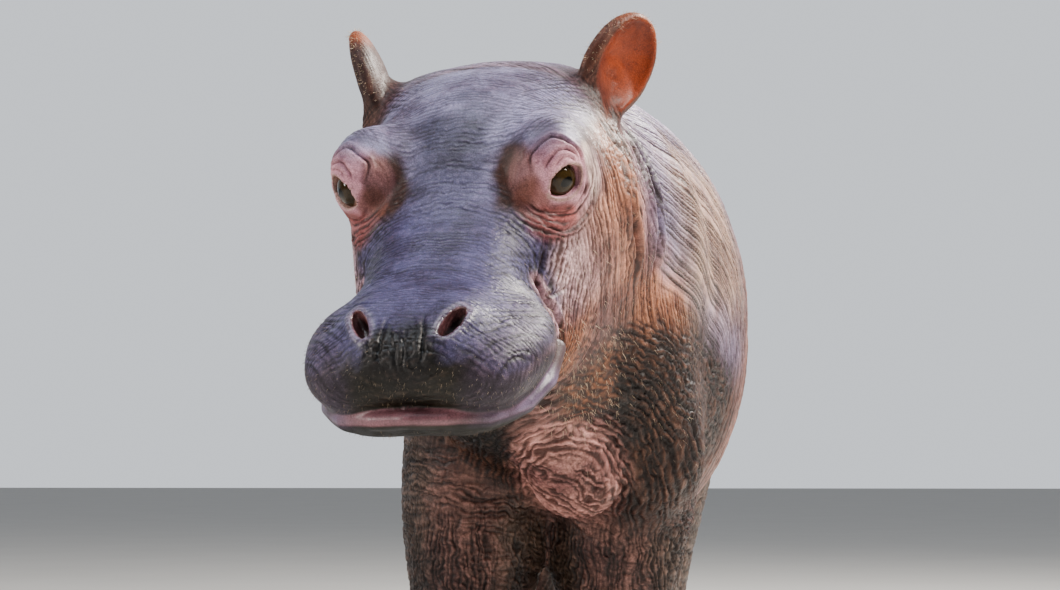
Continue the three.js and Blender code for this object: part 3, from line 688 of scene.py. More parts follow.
def part_shares(points):
    """How much of each point belongs to each kind of part."""
    def distances(p):
        rows = {"trunk": trunk_volume(p)}
        for kind, part, low, high, _, margin in PARTS:
            near = near_box(p, low, high, margin)
            d = np.full(len(p), FAR)
            d[near] = part(p[near])
            rows[kind] = np.minimum(rows.get(kind, FAR), d)
        return np.stack(list(rows.values()), -1)
    names = dict.fromkeys(["trunk"] + [part[0] for part in PARTS])
    d = shared(distances, points)
    weight = np.exp(-np.clip(d - d.min(-1, keepdims=True), 0, 200) / SHARE_FADE)
    weight /= weight.sum(-1, keepdims=True)
    return dict(zip(names, weight.T))


SHOULDER_BEND = [(0, -520, 400), (0, -230, 325), (0, -190, 60)]
CHEST_MIDDLE = (22, 262)          # across and up
# Patches of skin: their middles and radii, in the body's own axes, and the snout in the head's.
JOWL = (46, -486, 352), (34, 60, 52)
ELBOW = (140, -262, 262), (46, 60, 34)
UNDER_ELBOW = (136, -262, 205), (40, 60, 40)
SNOUT = (208, 6, -50), (26, 30, 22)
# Folds round the eye are laid on from this far in front of it, in this many steps, each of this
# part of the way that is left.
FROM_FRONT, FRONT_STEPS, NEARER = 60, 30, 0.8

# Folds round the eye: depth, width, and places round its middle, in degrees from the front corner
# over the top and millimetres out.
EYE_FOLDS = [
    (2.8, 1.4, [(28, 25), (65, 32), (99, 36), (119, 33), (147, 26), (175, 20)]),
    (2.2, 1.2, [(45, 21), (70, 23), (92, 25), (110, 26), (135, 24), (155, 20)]),
    (1.3, 0.9, [(70, 17.5), (95, 19.5), (120, 20), (145, 18)]),
    (1.4, 1.2, [(350, 26), (320, 27), (280, 25), (235, 21), (200, 20)]),
    (1.8, 1.5, [(338, 38), (302, 40), (270, 39), (241, 39), (212, 34)]),
    (1.5, 1.5, [(290, 48), (297, 58), (305, 72), (312, 88), (312, 100)]),
    (1.6, 1.5, [(322, 42), (319, 56), (319, 70), (320, 84), (317, 94)]),
]
# Other folds of the face: depth, width, and places in the head's axes.
FACE_FOLDS = [
    (2.6, 2.4, [(74, 68, -40), (76, 75, -64), (71, 84, -84), (72, 88, -104), (80, 86, -122)]),
    (1.8, 1.6, [(52, 77, -32), (62, 75, -48), (72, 72, -56), (78, 76, -72)]),
    (1.6, 1.5, [(42, 92, -74), (59, 84, -73), (73, 76, -70)]),
    (0.6, 1.1, [(150, 6, -22), (154, 20, -23), (149, 38, -27), (140, 52, -34)]),
    (0.5, 1.0, [(138, 0, -18), (135, 14, -19), (137, 34, -21)]),
    (0.5, 1.0, [(120, 12, -14), (125, 28, -16), (116, 44, -22)]),
    (1.8, 1.6, [(190, 13, -30), (201, 15, -34), (211, 16, -40), (219, 17, -48), (222, 15, -58)]),
    (1.2, 1.3, [(204, 3, -34), (213, 2, -41), (221, 3, -50), (225, 1, -62)]),
    (1.0, 1.3, [(172, 14, -26), (177, 28, -28), (174, 42, -29), (165, 56, -36)]),
]
# Folds of the neck, in the body's own axes.
NECK_FOLDS = [
    (10, 4, [(60, -496, 590), (76, -502, 545), (80, -510, 505), (88, -488, 470), (84, -470, 430)]),
    (8, 4, [(70, -452, 590), (88, -444, 556), (98, -444, 530), (104, -442, 486), (98, -430, 440)]),
]


def on_surface(points):
    """A smooth line through a few points, laid on the surface."""
    return settled(body_volume, smooth_line(points), 3, most=20.0)[0]


def round_the_eye(places, side):
    """Places given by their angle and distance from the eye's middle, seen along the gaze."""
    degrees, out = np.array(places, float).T
    angle = np.unwrap(np.radians(degrees))
    flat = out[:, None] * (np.cos(angle)[:, None] * EYE_LONG + np.sin(angle)[:, None] * EYE_HIGH)
    line = smooth_line(from_head((EYE_AT + flat + FROM_FRONT * GAZE) * (1, side, 1)))
    back = -(GAZE * (1, side, 1)) @ AXES
    for _ in range(FRONT_STEPS):
        line += NEARER * body_volume(line)[:, None] * back
    return line


def reach(p, centre, radii):
    """How far each place is from a centre, in units of the radii."""
    return norm((p - centre) / radii)


def shape_skin(skin):
    p, m = skin.points, skin.folded
    u, v, w = m.T
    x, y, z = p.T
    drift, fine = wander(p, 30, 5), wander(p, 9, 1.6)
    (d0, d1, d2), (f0, f1, _) = drift.T, fine.T
    ear, leg, head = skin.share["ear"], skin.share["leg"], skin.head
    body = (skin.share["trunk"] + skin.share["neck"]) * (1 - skin.face)
    add = skin.wrinkles

    # The shoulder is lined along a bend: back from the neck, then down.
    over_it = ramp(y, -445, -395) * ramp(z + 0.2 * y + d0, 335, 375)
    bend, _ = nearest(p * (0, 1, 1), np.array(SHOULDER_BEND, float))
    bend += 0.25 * d0 + 0.15 * f0
    add(body * over_it * ramp(y, -40, -160, 0.25), (bend, 0.7 * (y - z), x),
        (lines, (11, 140), 1.3, 0.3, 1.1), (lines, (4.2, 90), 2.3, 0.5, 1.4),
        (plates, (4.4, 13), 0.5, 0.35, 0.6))
    # Behind the ear and down beside the cheek they run steeply, and finer.
    forward = body * (1 - over_it) * ramp(y, -60, -160)
    high = ramp(z + 3 * d1, 385, 425)
    steep = 0.72 * x + 0.55 * y + 0.3 * z + 0.6 * d0 + 0.7 * f0
    add(forward * high, (steep, z - 0.5 * y, x), (lines, (4.6, 34), 1.5, 0.45, 1),
        (lines, (13, 60), 1.4, 0.3, 0.6), (plates, (3.6, 8), 0.7, 0.4, 1))
    # On the chest, chains of puffy folds bend round the loose skin under the throat.
    chest = forward * (1 - high) * (1 - 0.7 * ramp(reach(p, *JOWL), 1.3, 0.8))
    ring = np.hypot(x - CHEST_MIDDLE[0], np.maximum(z - CHEST_MIDDLE[1], 0)) + d0 + f0
    inside = ramp(ring, 46, 26)
    add(chest * (1 - inside), (ring, 0.7 * (x - z) + 0.5 * y, y),
        (lines, (6.5, 34), 2.6, 0.48, 1), (folds, (4, 11), 1.5, 0.5, 1))
    sag = 0.5 * x + 0.87 * z + 1.5 * d0 + 1.5 * f0
    add(chest * inside, (sag, x, y), (lines, (6.2, 15), 2.4, 0.5, 0.5))
    add(chest * inside, (p + 2 * fine).T, (folds, (4, 4, 3), 0.9, 0.6, 0.5))
    add(chest, (p + fine).T, (plates, (3.2, 3.2), 0.6, 0.4, 0.5))
    # Rolls over the elbow, and a net of square plates under it.
    curl = norm(p - (146, -250, 322)) + 0.8 * d0 + f0
    add(ramp(reach(p, *ELBOW), 1.2, 0.8), (curl, x, y), (lines, (9, 60), 3.2, 0.45, 1))
    add(ramp(reach(p, *UNDER_ELBOW), 1.2, 0.8), (p + 1.5 * fine).T, (plates, (9, 12), 2.0, 0.22, 1))
    # Rings round the flanks.
    add(body * ramp(y, -160, -60), (y + 0.12 * z + 1.2 * d0, x, z), (lines, (24, 120), 1.8, 0.3, 0.25),
        (lines, (9, 60), 1.0, 0.4, 0.4), (plates, (7, 13), 0.8, 0.3, 0.4))
    # Level wrinkles where the legs leave the chest and round their sides, and upright ones in front.
    front = ramp(-skin.normals[:, 1], 0.2, 0.7) * ramp(z + 3 * d1, 262, 215)
    level = z + 1.4 * d2 + 1.5 * f1 + 0.2 * x, x, y
    add(leg * front, (x + 1.3 * d0 + 1.5 * f0, y, z), (lines, (4.2, 24), 2.0, 0.5, 0.6))
    add(leg * front, level, (lines, (4.6, 30), 0.8, 0.3, 0.5))
    add(leg * (1 - front), level, (lines, (4.6, 30), 1.5, 0.4, 1))
    add(leg * (1 - front), (z + 2 * d2, x, y), (lines, (15, 70), 1.8, 0.3, 0.6))
    add(leg, (p + 2 * fine).T, (folds, (5, 5), 0.9, 0.4, 0.7))
    # The backs of the ears are lined along their length, and ringed where they leave the head.
    for side in (1, -1):
        r = in_ear(p, side)
        a, b, c = r.T
        mine = ear * (skin.side == side) * ramp(ellipsoid(r, EAR_HOLLOW, HOLLOW_RADII), 0.5, 3)
        add(mine, (b + 0.3 * d0, a, c), (lines, (3.2, 22), 0.5, 0.4, 0.8))
        add(mine * ramp(a, 34, 6), (a + 0.4 * b + 0.4 * d0, b, c), (lines, (4.2, 40), 1.2, 0.4, 1))
    # The forehead and the bridge of the muzzle are finely lined from side to side.
    over = ramp(skin.normals @ AXES[2], 0.1, 0.6)
    e = m - EYE_AT
    from_eye = norm(e)
    lids = ramp(from_eye, 34, 50)
    dry = ramp(by_the_lips(m)[0], 8, 15)
    top = head * over * lids * dry
    lined = u + 0.5 * d0 + f0
    add(top, (lined, v, w), (lines, (3.6, 18), 0.6, 0.4, 0.7), (folds, (2.2, 4), 0.3, 0.5, 0.4))
    add(top * ramp(v, 30, 75), (0.6 * lined + 0.8 * v, u, w), (lines, (4.5, 26), 0.7, 0.4, 0.7))
    # Its sides and the cheeks are lined on a slope.
    cheek = head * (1 - over) * lids * dry * ramp(u, 150, 90, 0.45)
    slope = 0.8 * u + 0.6 * w + 0.6 * d0 + f0
    add(cheek, (slope, v, 0.6 * u - 0.8 * w), (lines, (4.5, 34), 1.0, 0.42, 0.8))
    add(cheek, (p + fine).T, (folds, (3.2, 3.2), 0.5, 0.5, 1))
    # Bags under the eyes, and rings of finer folds in the lids.
    below = ramp(-(e @ EYE_HIGH) / from_eye, 0.05, 0.5)
    bags = head * below * ramp(from_eye, 27, 31) * ramp(from_eye, 56, 46)
    add(bags, (from_eye + 0.25 * d0 + f0, u, w), (lines, (5.5, 26), 2.0, 0.42, 1))
    add(head * (1 - lids), (from_eye + 0.7 * f0, u, w), (lines, (2.2, 14), 0.35, 0.4, 0.7))
    # The nostrils' rims, and the wet wrinkled skin between them.
    pit = nostril_pit(m)
    skin.rise += head * 1.1 * np.exp(-((pit - 3.5) / 2.4) ** 2) * ramp(w, -28, -36)
    snout = head * ramp(reach(m, *SNOUT), 1.2, 0.6)
    add(snout, (v + d0 + 2 * f0, u, w), (lines, (9, 12), 0.9, 0.4, 0.2))
    add(snout, (m + 2 * fine).T, (folds, (4, 3, 4), 0.7, 0.5, 0.2))
    for side in (1, -1):
        for depth, width, places in EYE_FOLDS:
            skin.crease(round_the_eye(places, side), depth, width)
        for depth, width, places in FACE_FOLDS:
            skin.crease(on_surface(from_head(np.array(places, float) * (1, side, 1))), depth, width)
    for depth, width, places in NECK_FOLDS:
        skin.crease(on_surface(places), depth, width, shade=1.6)
    # Low broad unevenness everywhere.
    skin.rise += 1.2 * body * noise(p, 55) + 0.3 * noise(p, 18)


def placed(name, data):
    piece = bpy.data.objects.new(name, data)
    bpy.context.collection.objects.link(piece)
    return piece


def mesh_of(name, points, quads, polygons=np.zeros((0, 8), int)):
    """A smooth mesh object from millimetre points in the body's own frame."""
    loops = np.concatenate([quads.ravel(), polygons[polygons >= 0]])
    sizes = np.concatenate([np.full(len(quads), 4), (polygons >= 0).sum(1)])
    mesh = bpy.data.meshes.new(name)
    mesh.vertices.add(len(points))
    mesh.vertices.foreach_set("co", (points * MM + SHIFT).astype(np.float32).ravel())
    mesh.loops.add(len(loops))
    mesh.loops.foreach_set("vertex_index", loops.astype(np.int32))
    mesh.polygons.add(len(sizes))
    mesh.polygons.foreach_set("loop_start", (np.cumsum(sizes) - sizes).astype(np.int32))
    mesh.update(calc_edges=True)
    mesh.validate()
    mesh.shade_smooth()
    return placed(name, mesh)


def closed_mesh(name, rings, sides, points, caps):
    """A smooth mesh of rings of points one after another, with the given faces at its ends."""
    mesh = bpy.data.meshes.new(name)
    mesh.from_pydata(points.tolist(), [], ring_faces(rings, sides) + caps)
    mesh.shade_smooth()
    return mesh


def ring_faces(rings, sides):
    """The faces between each ring of points and the next."""
    return [[i * sides + j, i * sides + (j + 1) % sides,
             (i + 1) * sides + (j + 1) % sides, (i + 1) * sides + j]
            for i in range(rings - 1) for j in range(sides)]


def keep(piece, name, values):
    attribute = piece.data.attributes.new(name, "FLOAT", "POINT")
    attribute.data.foreach_set("value", np.asarray(values, np.float32))


# ---- materials

def rgb(code):
    """A colour as the shaders want it, from its usual code."""
    parts = [int(code[i:i + 2], 16) / 255 for i in (0, 2, 4)]
    return [c / 12.92 if c <= 0.04045 else ((c + 0.055) / 1.055) ** 2.4 for c in parts] + [1.0]


class Shader:
    """A material's node tree, with short ways to add nodes."""

    def __init__(self, name):
        self.material = bpy.data.materials.new(name)
        self.material.use_nodes = True
        self.tree = self.material.node_tree
        self.surface = self.tree.nodes["Principled BSDF"]
        self.places = self.tree.nodes.new("ShaderNodeTexCoord").outputs["Object"]

    def put(self, socket, value):
        if isinstance(value, bpy.types.NodeSocket):
            self.tree.links.new(value, socket)
        else:
            socket.default_value = value

    def finish(self, **inputs):
        """Sets the surface's own sockets, and gives the material."""
        for name, value in inputs.items():
            self.put(self.surface.inputs[name.replace("_", " ")], value)
        return self.material

    def node(self, kind, settings=(), **inputs):
        node = self.tree.nodes.new(kind)
        for name, value in dict(settings).items():
            setattr(node, name, value)
        for name, value in inputs.items():
            self.put(node.inputs[name.replace("_", " ")], value)
        return node

    def attribute(self, name):
        return self.node("ShaderNodeAttribute", {"attribute_name": name}).outputs["Fac"]

    def math(self, operation, *values):
        node = self.node("ShaderNodeMath", {"operation": operation})
        for socket, value in zip(node.inputs, values):
            self.put(socket, value)
        return node.outputs[0]

    def ramp(self, value, low, high, first=0.0, last=1.0):
        node = self.node("ShaderNodeMapRange", {"interpolation_type": "SMOOTHSTEP"}, Value=value,
                         From_Min=low, From_Max=high, To_Min=first, To_Max=last)
        return node.outputs[0]

    def mix(self, share, first, second, blend="MIX"):
        node = self.node("ShaderNodeMix", {"data_type": "RGBA", "blend_type": blend})
        self.put(node.inputs[0], share)
        self.put(node.inputs[6], first)
        self.put(node.inputs[7], second)
        return node.outputs[2]

    def times(self, first, second):
        return self.mix(1.0, first, second, "MULTIPLY")

    def noise(self, scale, detail=3.0, roughness=0.55):
        return self.node("ShaderNodeTexNoise", Vector=self.places, Scale=scale, Detail=detail,
                         Roughness=roughness).outputs["Fac"]

    def patches(self, scale, low, high, first=0.0, last=1.0, detail=3.0, roughness=0.55):
        """Noise drawn out between two of its levels."""
        return self.ramp(self.noise(scale, detail, roughness), low, high, first, last)

    def cells(self, scale):
        return self.node("ShaderNodeTexVoronoi", {"feature": "DISTANCE_TO_EDGE"},
                         Vector=self.places, Scale=scale).outputs["Distance"]

    def bump(self, height, strength, distance, **normal):
        return self.node("ShaderNodeBump", Strength=strength, Distance=distance, Height=height,
                         **normal).outputs[0]


# What the hide is painted with: all of it, and then each mask in the order that it is laid on.
HIDE = "402414"
TINTS = dict(
    # back: lavender-grey over the upper body, its own grey with painted sky reflection.
    under="5a3c2e", flank="8c6458", neck="c88460", back="9488a8", lit_side="a88a78",
    # The darker tint on the legs' sideways faces is painted shade.
    # throat: near black under the jaw and throat, painted shade.
    leg="66463e", leg_side_shade="4a3a30", throat="140c06", loose="c48c82", elbow="4a2e26",
    # The dark patch in the forehead's middle is painted shade in the dip between the brows.
    # crown: the head's own grey, lavender on its upward faces as painted sky reflection.
    cheek="f0c8ca", jowl="7a4826", cheek_low="90501f", crown="8682a4", forehead_middle_shade="2e2d44",
    # The near black of the lower muzzle is its own dark brown, deepened by painted shade on the
    # muzzle's underside.
    # bridge: blue-grey on the muzzle's upward faces, its own grey with painted sky reflection.
    bridge="524e74", low_muzzle_brown_and_shade="1a1408", muzzle_side="463a4c", nose="120a08",
    # The lavender toward the lips' corners is a painted highlight.
    # chin: near black below the lower lip, its own dark brown with painted shade under the lip.
    behind_lip="b48c96", lip="885a62", lip_side_highlight="6a6080", chin="0c0a04", lip_end="4e3a3c",
    # The patch inside each brow mound is its own brown, darkened by painted shade in the hollow there.
    inner_brow_brown_and_shade="46281f", lid="eaaab8", lid_in="7a5248", lid_low="865040", bag="8a4846",
    # The near-white patch behind each eye is a painted highlight.
    # rim: the pale line along the lids' edges is a painted highlight of their wet edges.
    rim="c09a90", highlight_beside_eye="ffe6d7", nostril_rim="9a8aa0", nostril="84585a",
    # The darker tint deep in the nostrils is painted shade.
    # The far ear's darker tint is painted shade.
    # The orange at the ears' tips is a painted glow of light shining through them.
    nostril_deep_shade="442628", ear_out="704432", far_ear_shade="4c3028", ear_tip_glow="a8562c", ear_in="933912",
    # The brown toward the root of each ear's hollow is its own brown with painted shade.
    ear_hollow_brown_and_shade="6a3224")


def hide_material():
    s = Shader("hide")
    colour = rgb(HIDE)
    for name, code in TINTS.items():
        colour = s.mix(s.attribute(name), colour, rgb(code))
    blotches = s.patches(22, 0.4, 0.65, 0, 0.9, 5, 0.65)
    colour = s.mix(blotches, colour, s.times(colour, rgb("a89aa0")))
    # Painted shade darkens the grooves and the edges of the finest cells, a painted highlight lightens
    # the ridges, and there are pale and dark specks.
    dark = s.times(colour, rgb("523c32"))
    colour = s.mix(s.math("MULTIPLY", s.attribute("groove"), 0.95), colour, dark)
    pale = s.mix(0.1, s.times(colour, (1.9, 1.8, 1.8, 1)), rgb("e8dade"))
    # Painted highlight: the lighter, warmer colour laid on the ridges.
    lit = s.mix(0.05, s.times(colour, (1.7, 1.6, 1.65, 1)), rgb("ecc8b4"))
    colour = s.mix(s.attribute("ridge"), colour, lit)
    fine = s.cells(520)
    # Painted shade along the edges of the finest cells.
    colour = s.mix(s.ramp(fine, 0.0, 0.12, 0.45, 0), colour, dark)
    colour = s.mix(s.patches(620, 0.55, 0.7, 0, 0.25, 4, 0.7), colour, pale)
    colour = s.mix(s.patches(240, 0.56, 0.68, 0, 0.4, 4, 0.7), colour, dark)
    wet = s.attribute("wet")
    bump = s.bump(s.noise(1400, 4), 0.2, 0.0004, Normal=s.bump(fine, 0.35, 0.0006))
    return s.finish(Base_Color=colour, Normal=bump,
                    Roughness=s.mix(wet, s.patches(60, 0.3, 0.7, 0.42, 0.6), (0.24, 0.24, 0.24, 1)),
                    Specular_IOR_Level=s.ramp(wet, 0.0, 1.0, 0.25, 0.8),
                    Subsurface_Weight=0.05, Subsurface_Radius=(0.006, 0.002, 0.001))


IRIS = (0.0135, 0.015)            # the radii, in metres, between which the iris turns to white
PUPIL = (0.0034, 0.0044)          # half its height, in metres
PUPIL_WIDTH = 1.5                 # of its height


def eye_material():
    s = Shader("eye")
    across, high, _ = s.node("ShaderNodeSeparateXYZ", Vector=s.places).outputs
    tall = s.math("MULTIPLY", high, high)
    radius = s.math("SQRT", s.math("ADD", s.math("MULTIPLY", across, across), tall))
    wide = s.math("POWER", s.math("DIVIDE", across, PUPIL_WIDTH), 2.0)
    pupil = s.math("SQRT", s.math("ADD", wide, tall))
    iris = s.mix(s.noise(900), rgb("160f05"), rgb("3c2c12"))
    white = s.mix(s.noise(300), rgb("7a5348"), rgb("a58478"))
    colour = s.mix(s.ramp(radius, *IRIS), iris, white)
    colour = s.mix(s.ramp(pupil, *PUPIL), rgb("050403"), colour)
    return s.finish(Base_Color=colour, Roughness=0.06, Specular_IOR_Level=0.25)


def nail_material():
    s = Shader("nail")
    colour = s.mix(s.noise(180, 4), rgb("3b322c"), rgb("6a5b50"))
    colour = s.mix(s.patches(60, 0.3, 0.7, 0, 0.4), colour, rgb("857567"))
    return s.finish(Base_Color=colour, Roughness=s.patches(240, 0.3, 0.7, 0.35, 0.6),
                    Normal=s.bump(s.noise(600, 4), 0.3, 0.0004))


def bristle_material():
    s = Shader("bristle")
    pale = s.math("ADD", s.attribute("pale"), s.patches(300, 0.3, 0.7, -0.15, 0.15))
    return s.finish(Base_Color=s.mix(pale, rgb("2a1a12"), rgb("f4d8b4")),
                    Roughness=s.patches(200, 0.3, 0.7, 0.35, 0.55))


def floor_material():
    s = Shader("floor")
    return s.finish(Base_Color=s.mix(s.noise(3, 2), rgb("c9c7c3"), rgb("d2d0cc")), Roughness=0.8)


# ---- skin: masks and assembly

# The fold behind the lips' corner, on one side, in the head's axes.
LIP_CORNER = [(98, 92, -82), (80, 86, -96), (72, 82, -78), (75, 74, -56)]
# Round patches of the head: how strong, their middles and radii in its axes, how ragged. The tip
# of the nose is wet.
SPOTS = {
    # The forehead's dark middle is painted shade in the dip between the brows.
    "nose": (1, (212, 8, -52), (22, 28, 20), 0.35), "forehead_middle_shade": (0.75, (-12, 0, 10), (70, 38, 60), 0.3),
    # Inside each brow mound: its own brown with painted shade in the hollow.
    "inner_brow_brown_and_shade": (1, (27, 52, 12), (28, 18, 36), 0.3), "lid_in": (0.75, (27, 62, 14), (17, 13, 30), 0.3),
    "lid_low": (0.8, (37, 68, -4), (17, 15, 21), 0.3), "bag": (1, (30, 86, -22), (30, 30, 16), 0.15),
    # The near-white patch behind each eye is a painted highlight.
    "highlight_beside_eye": (1, (-6, 108, 6), (12, 22, 26), 0.15),
}
NOSE_TIP = 0.35, (212, 8, -50), (16, 20, 15), 0.35


def masks(skin):
    """Where each tint lies, from 0 to 1, and how wet the skin is."""
    p, m = skin.points, skin.folded
    x, y, z = p.T
    u, v, w = m.T
    nx, _, nz = skin.normals.T
    drift = noise(p, 26)
    up = skin.normals @ AXES[2]
    ear, leg, head = skin.share["ear"], skin.share["leg"], skin.head
    torso = (skin.share["trunk"] + skin.share["neck"] + skin.share["tail"]) * (1 - skin.face)
    slit, front = lid_slit(m)
    eye = norm(m - EYE_AT)
    pit = nostril_pit(m)
    mouth, over_rim = by_the_lips(m)
    corner, _ = nearest(m, np.array(LIP_CORNER, float))
    lip = (head * ramp(mouth, LIP_RIM + 2.4, LIP_RIM + 1) * ramp(over_rim, -2.5, 0)
           * ramp(u, 112, 142))
    inner = skin.on_ears(lambda r, _: ramp(ellipsoid(r, EAR_HOLLOW, HOLLOW_RADII), 2.5, 0.5))
    deep = skin.on_ears(lambda r, side: ramp(r[:, 0] + 0.8 * r[:, 1] * side, 52, 18))

    def spot(strength, at, radii, ragged):
        return strength * (head * ramp(reach(m, at, radii) + ragged * drift, 1.25, 0.7))

    shine = 0.3 * (head * ramp(up, 0.3, 0.8) * ramp(u, 150, 80, 0.2) + torso * ramp(z, 380, 470))
    lips_shine = 0.7 * ramp(mouth, 11, 7) * ramp(over_rim, -3, 1) * ramp(u, 125, 150)
    return {name: spot(*row) for name, row in SPOTS.items()} | {
        "under": torso * ramp(z + 20 * drift, 300, 200),
        "flank": torso * ramp(y, -120, 0),
        "neck": torso * ramp(z + 10 * drift, 385, 440) * ramp(y, -330, -400),
        # The upper body: its own grey with painted sky reflection.
        "back": torso * ramp(z + 0.25 * y + 14 * drift, 325, 385)
        * np.maximum(ramp(y, -500, -440), ramp(z, 590, 620))
        * (1 - ramp(y + 16 * drift, -190, 20) * ramp(z + 20 * drift, 620, 470)),
        "lit_side": torso * ramp(nx + 0.1 * drift, 0.66, 0.92) * ramp(y, -430, -330)
        * ramp(z + 12 * drift, 390, 470) * ramp(y, 40, -120),
        "leg": leg,
        # Painted shade where the legs face sideways.
        "leg_side_shade": leg * ramp(np.abs(nx) + 0.2 * drift, 0.35, 0.8),
        # Painted shade on the downward faces under the head and throat.
        "throat": (head + torso) * ramp(nz + 0.2 * drift, -0.2, -0.7) * ramp(y, -380, -440),
        "loose": torso * ramp(np.hypot(x - 24, 0.8 * (z - 280)) + 6 * drift, 62, 34)
        * ramp(y, -250, -300),
        "elbow": (torso + leg) * ramp(reach(p, (140, -262, 256), (46, 60, 42)) + 0.2 * drift, 1.2, 0.7),
        "cheek": head * ramp(up + 0.1 * drift, 0.45, 0.1),
        "jowl": torso * ramp(reach(p, *JOWL) + 0.2 * drift, 1.2, 0.6),
        "cheek_low": head * ramp(w + 8 * drift, -70, -110),
        # The head's upward faces: its own grey with painted sky reflection.
        "crown": head * ramp(up + 0.15 * drift, 0.35, 0.75),
        # The muzzle's upward faces: its own blue-grey with painted sky reflection.
        "bridge": head * ramp(u, 10, 70) * ramp(up + 0.2 * drift, -0.1, 0.4),
        # The lower muzzle: its own dark brown with painted shade.
        "low_muzzle_brown_and_shade": head * ramp(u, 70, 110) * ramp(w + 0.42 * v + 11 * drift, -30, -44),
        "muzzle_side": 0.7 * head * ramp(u, 110, 150) * ramp(v + 8 * drift, 34, 60) * ramp(w, -36, -56),
        "behind_lip": head * ramp(corner, 12, 6),
        "lip": lip,
        # Painted highlight on the lip toward its corners.
        "lip_side_highlight": 0.8 * lip * ramp(v + 8 * drift, 36, 72),
        # Below the lower lip: its own dark brown with painted shade.
        "chin": head * ramp(over_rim, -4, -7) * ramp(u, 60, 90),
        "lip_end": head * ramp(mouth, 12, 9) * ramp(u, 150, 130) * ramp(u, 90, 96),
        "lid": head * ramp(eye + 3 * drift, 40, 26),
        # Painted highlight along the wet edges of the lids.
        "rim": head * ramp(np.abs(slit), 2.0, 0.8) * ramp(front, 2, 6),
        "nostril_rim": 0.5 * head * ramp(np.abs(pit - 2.5) + 1.5 * drift, 3, 0.5),
        "nostril": head * ramp(pit, 1.5, 0.2),
        # Painted shade deep inside the nostrils.
        "nostril_deep_shade": head * ramp(pit, 1.5, 0.2) * ramp((m - NOSTRIL_AT) @ NOSTRIL_OUT, -2, -8),
        "ear_out": ear,
        # Painted shade over the whole of the far ear.
        "far_ear_shade": ear * (skin.side < 0),
        # Painted glow of light through the ears' tips.
        "ear_tip_glow": ear * skin.on_ears(lambda r, _: ramp(r[:, 0] + 6 * drift, 76, 100)),
        "ear_in": ear * inner,
        # Toward the root of each ear's hollow: its own brown with painted shade.
        "ear_hollow_brown_and_shade": 0.8 * ear * inner * deep,
        "wet": np.max([shine, 0.8 * head * np.maximum(ramp(pit, 9, 2), lips_shine),
                       spot(*NOSE_TIP)], axis=0),
    }


def make_skin():
    points, normals, quads, polygons = skin_surface()
    skin = Skin(points, normals)
    shape_skin(skin)
    moved = points + skin.rise[:, None] * normals
    moved[:, 2] = np.maximum(moved[:, 2], 0)
    piece = mesh_of("hide_skin", moved, quads, polygons)
    groove, ridge = skin.shades()
    for name, values in (masks(skin) | {"groove": groove, "ridge": ridge}).items():
        keep(piece, name, values)
    piece.data.materials.append(hide_material())
    hair = bristles(skin, moved)
    hair.data.materials.append(bristle_material())
    return piece, hair


# ---- bristles

BRISTLE_RINGS, BRISTLE_SIDES = 6, 4
ROOT = 0.6                        # how deep each starts, in millimetres
TAPER = 0.92                      # how much thinner its tip is
SEED = 11
PATCH = 0.003                     # the side of each bristle's place on the unwrap
HALF_MAP = (0.22, 0.45)           # half the width and height of each half of the unwrap
# Where bristles grow: the mask, how many, shortest and longest, thickness, how much they lean, and
# how pale they are.
BRISTLES = [
    ("cheek_hair", 420, 4, 10, 0.17, 0.85, 0.75),
    ("lip_hair", 900, 2.5, 5, 0.15, 0.5, 0.25),
    ("ear_hair", 420, 3, 7, 0.16, 0.4, 0.7),
    ("neck_hair", 500, 4, 8, 0.16, 0.8, 0.6),
    ("tail_hair", 260, 18, 34, 0.3, 0.75, 0.2),
]


def ear_edge(r, _):
    """How near places in an ear's axes are to its edge, from 0 to 1, apart from its root."""
    return ramp(np.hypot(r[:, 0] - 53, 1.3 * r[:, 1]), 42, 50) * ramp(r[:, 0], 20, 50)


def bristle_masks(skin):
    """How thickly each kind of bristle grows at each point."""
    u, v, w = skin.folded.T
    z = skin.points[:, 2]
    ear, neck = skin.share["ear"], skin.share["neck"]
    head = skin.share["head"] * (1 - ear)
    mouth, _ = by_the_lips(skin.folded)
    return {
        "cheek_hair": (head * ramp(w, -30, -70) * ramp(u, 112, 96) * ramp(u, -60, 40) * ramp(v, 40, 70)
                       + neck * ramp(reach(skin.points, *JOWL), 1.5, 0.8)),
        "lip_hair": head * ramp(u, 90, 120) * ramp(w, -40, -66) * ramp(mouth, 9, 14),
        "ear_hair": ear * skin.on_ears(ear_edge),
        "neck_hair": neck * ramp(skin.normals[:, 0], 0.2, 0.8) * ramp(z, 260, 330),
        "tail_hair": skin.share["tail"] * ramp(z, 425, 400),
    }


def unwrapped(skin, rows):
    """Where points of the skin lie on a flat map of it: the head and ears rolled out round the
    head's length, and the rest round the trunk's, each in its own half of the map."""
    p, m = skin.points[rows], skin.local[rows]
    wide, high = HALF_MAP
    head = np.stack([0.25 + wide * np.arctan2(m[:, 1], m[:, 2] + 60) / np.pi,
                     0.5 + high * m[:, 0] / 260], -1)
    rest = np.stack([0.75 + wide * np.arctan2(p[:, 0], p[:, 2] - 420) / np.pi,
                     0.5 + high * p[:, 1] / 620], -1)
    return np.where(p[:, 1:2] < -440, head, rest)


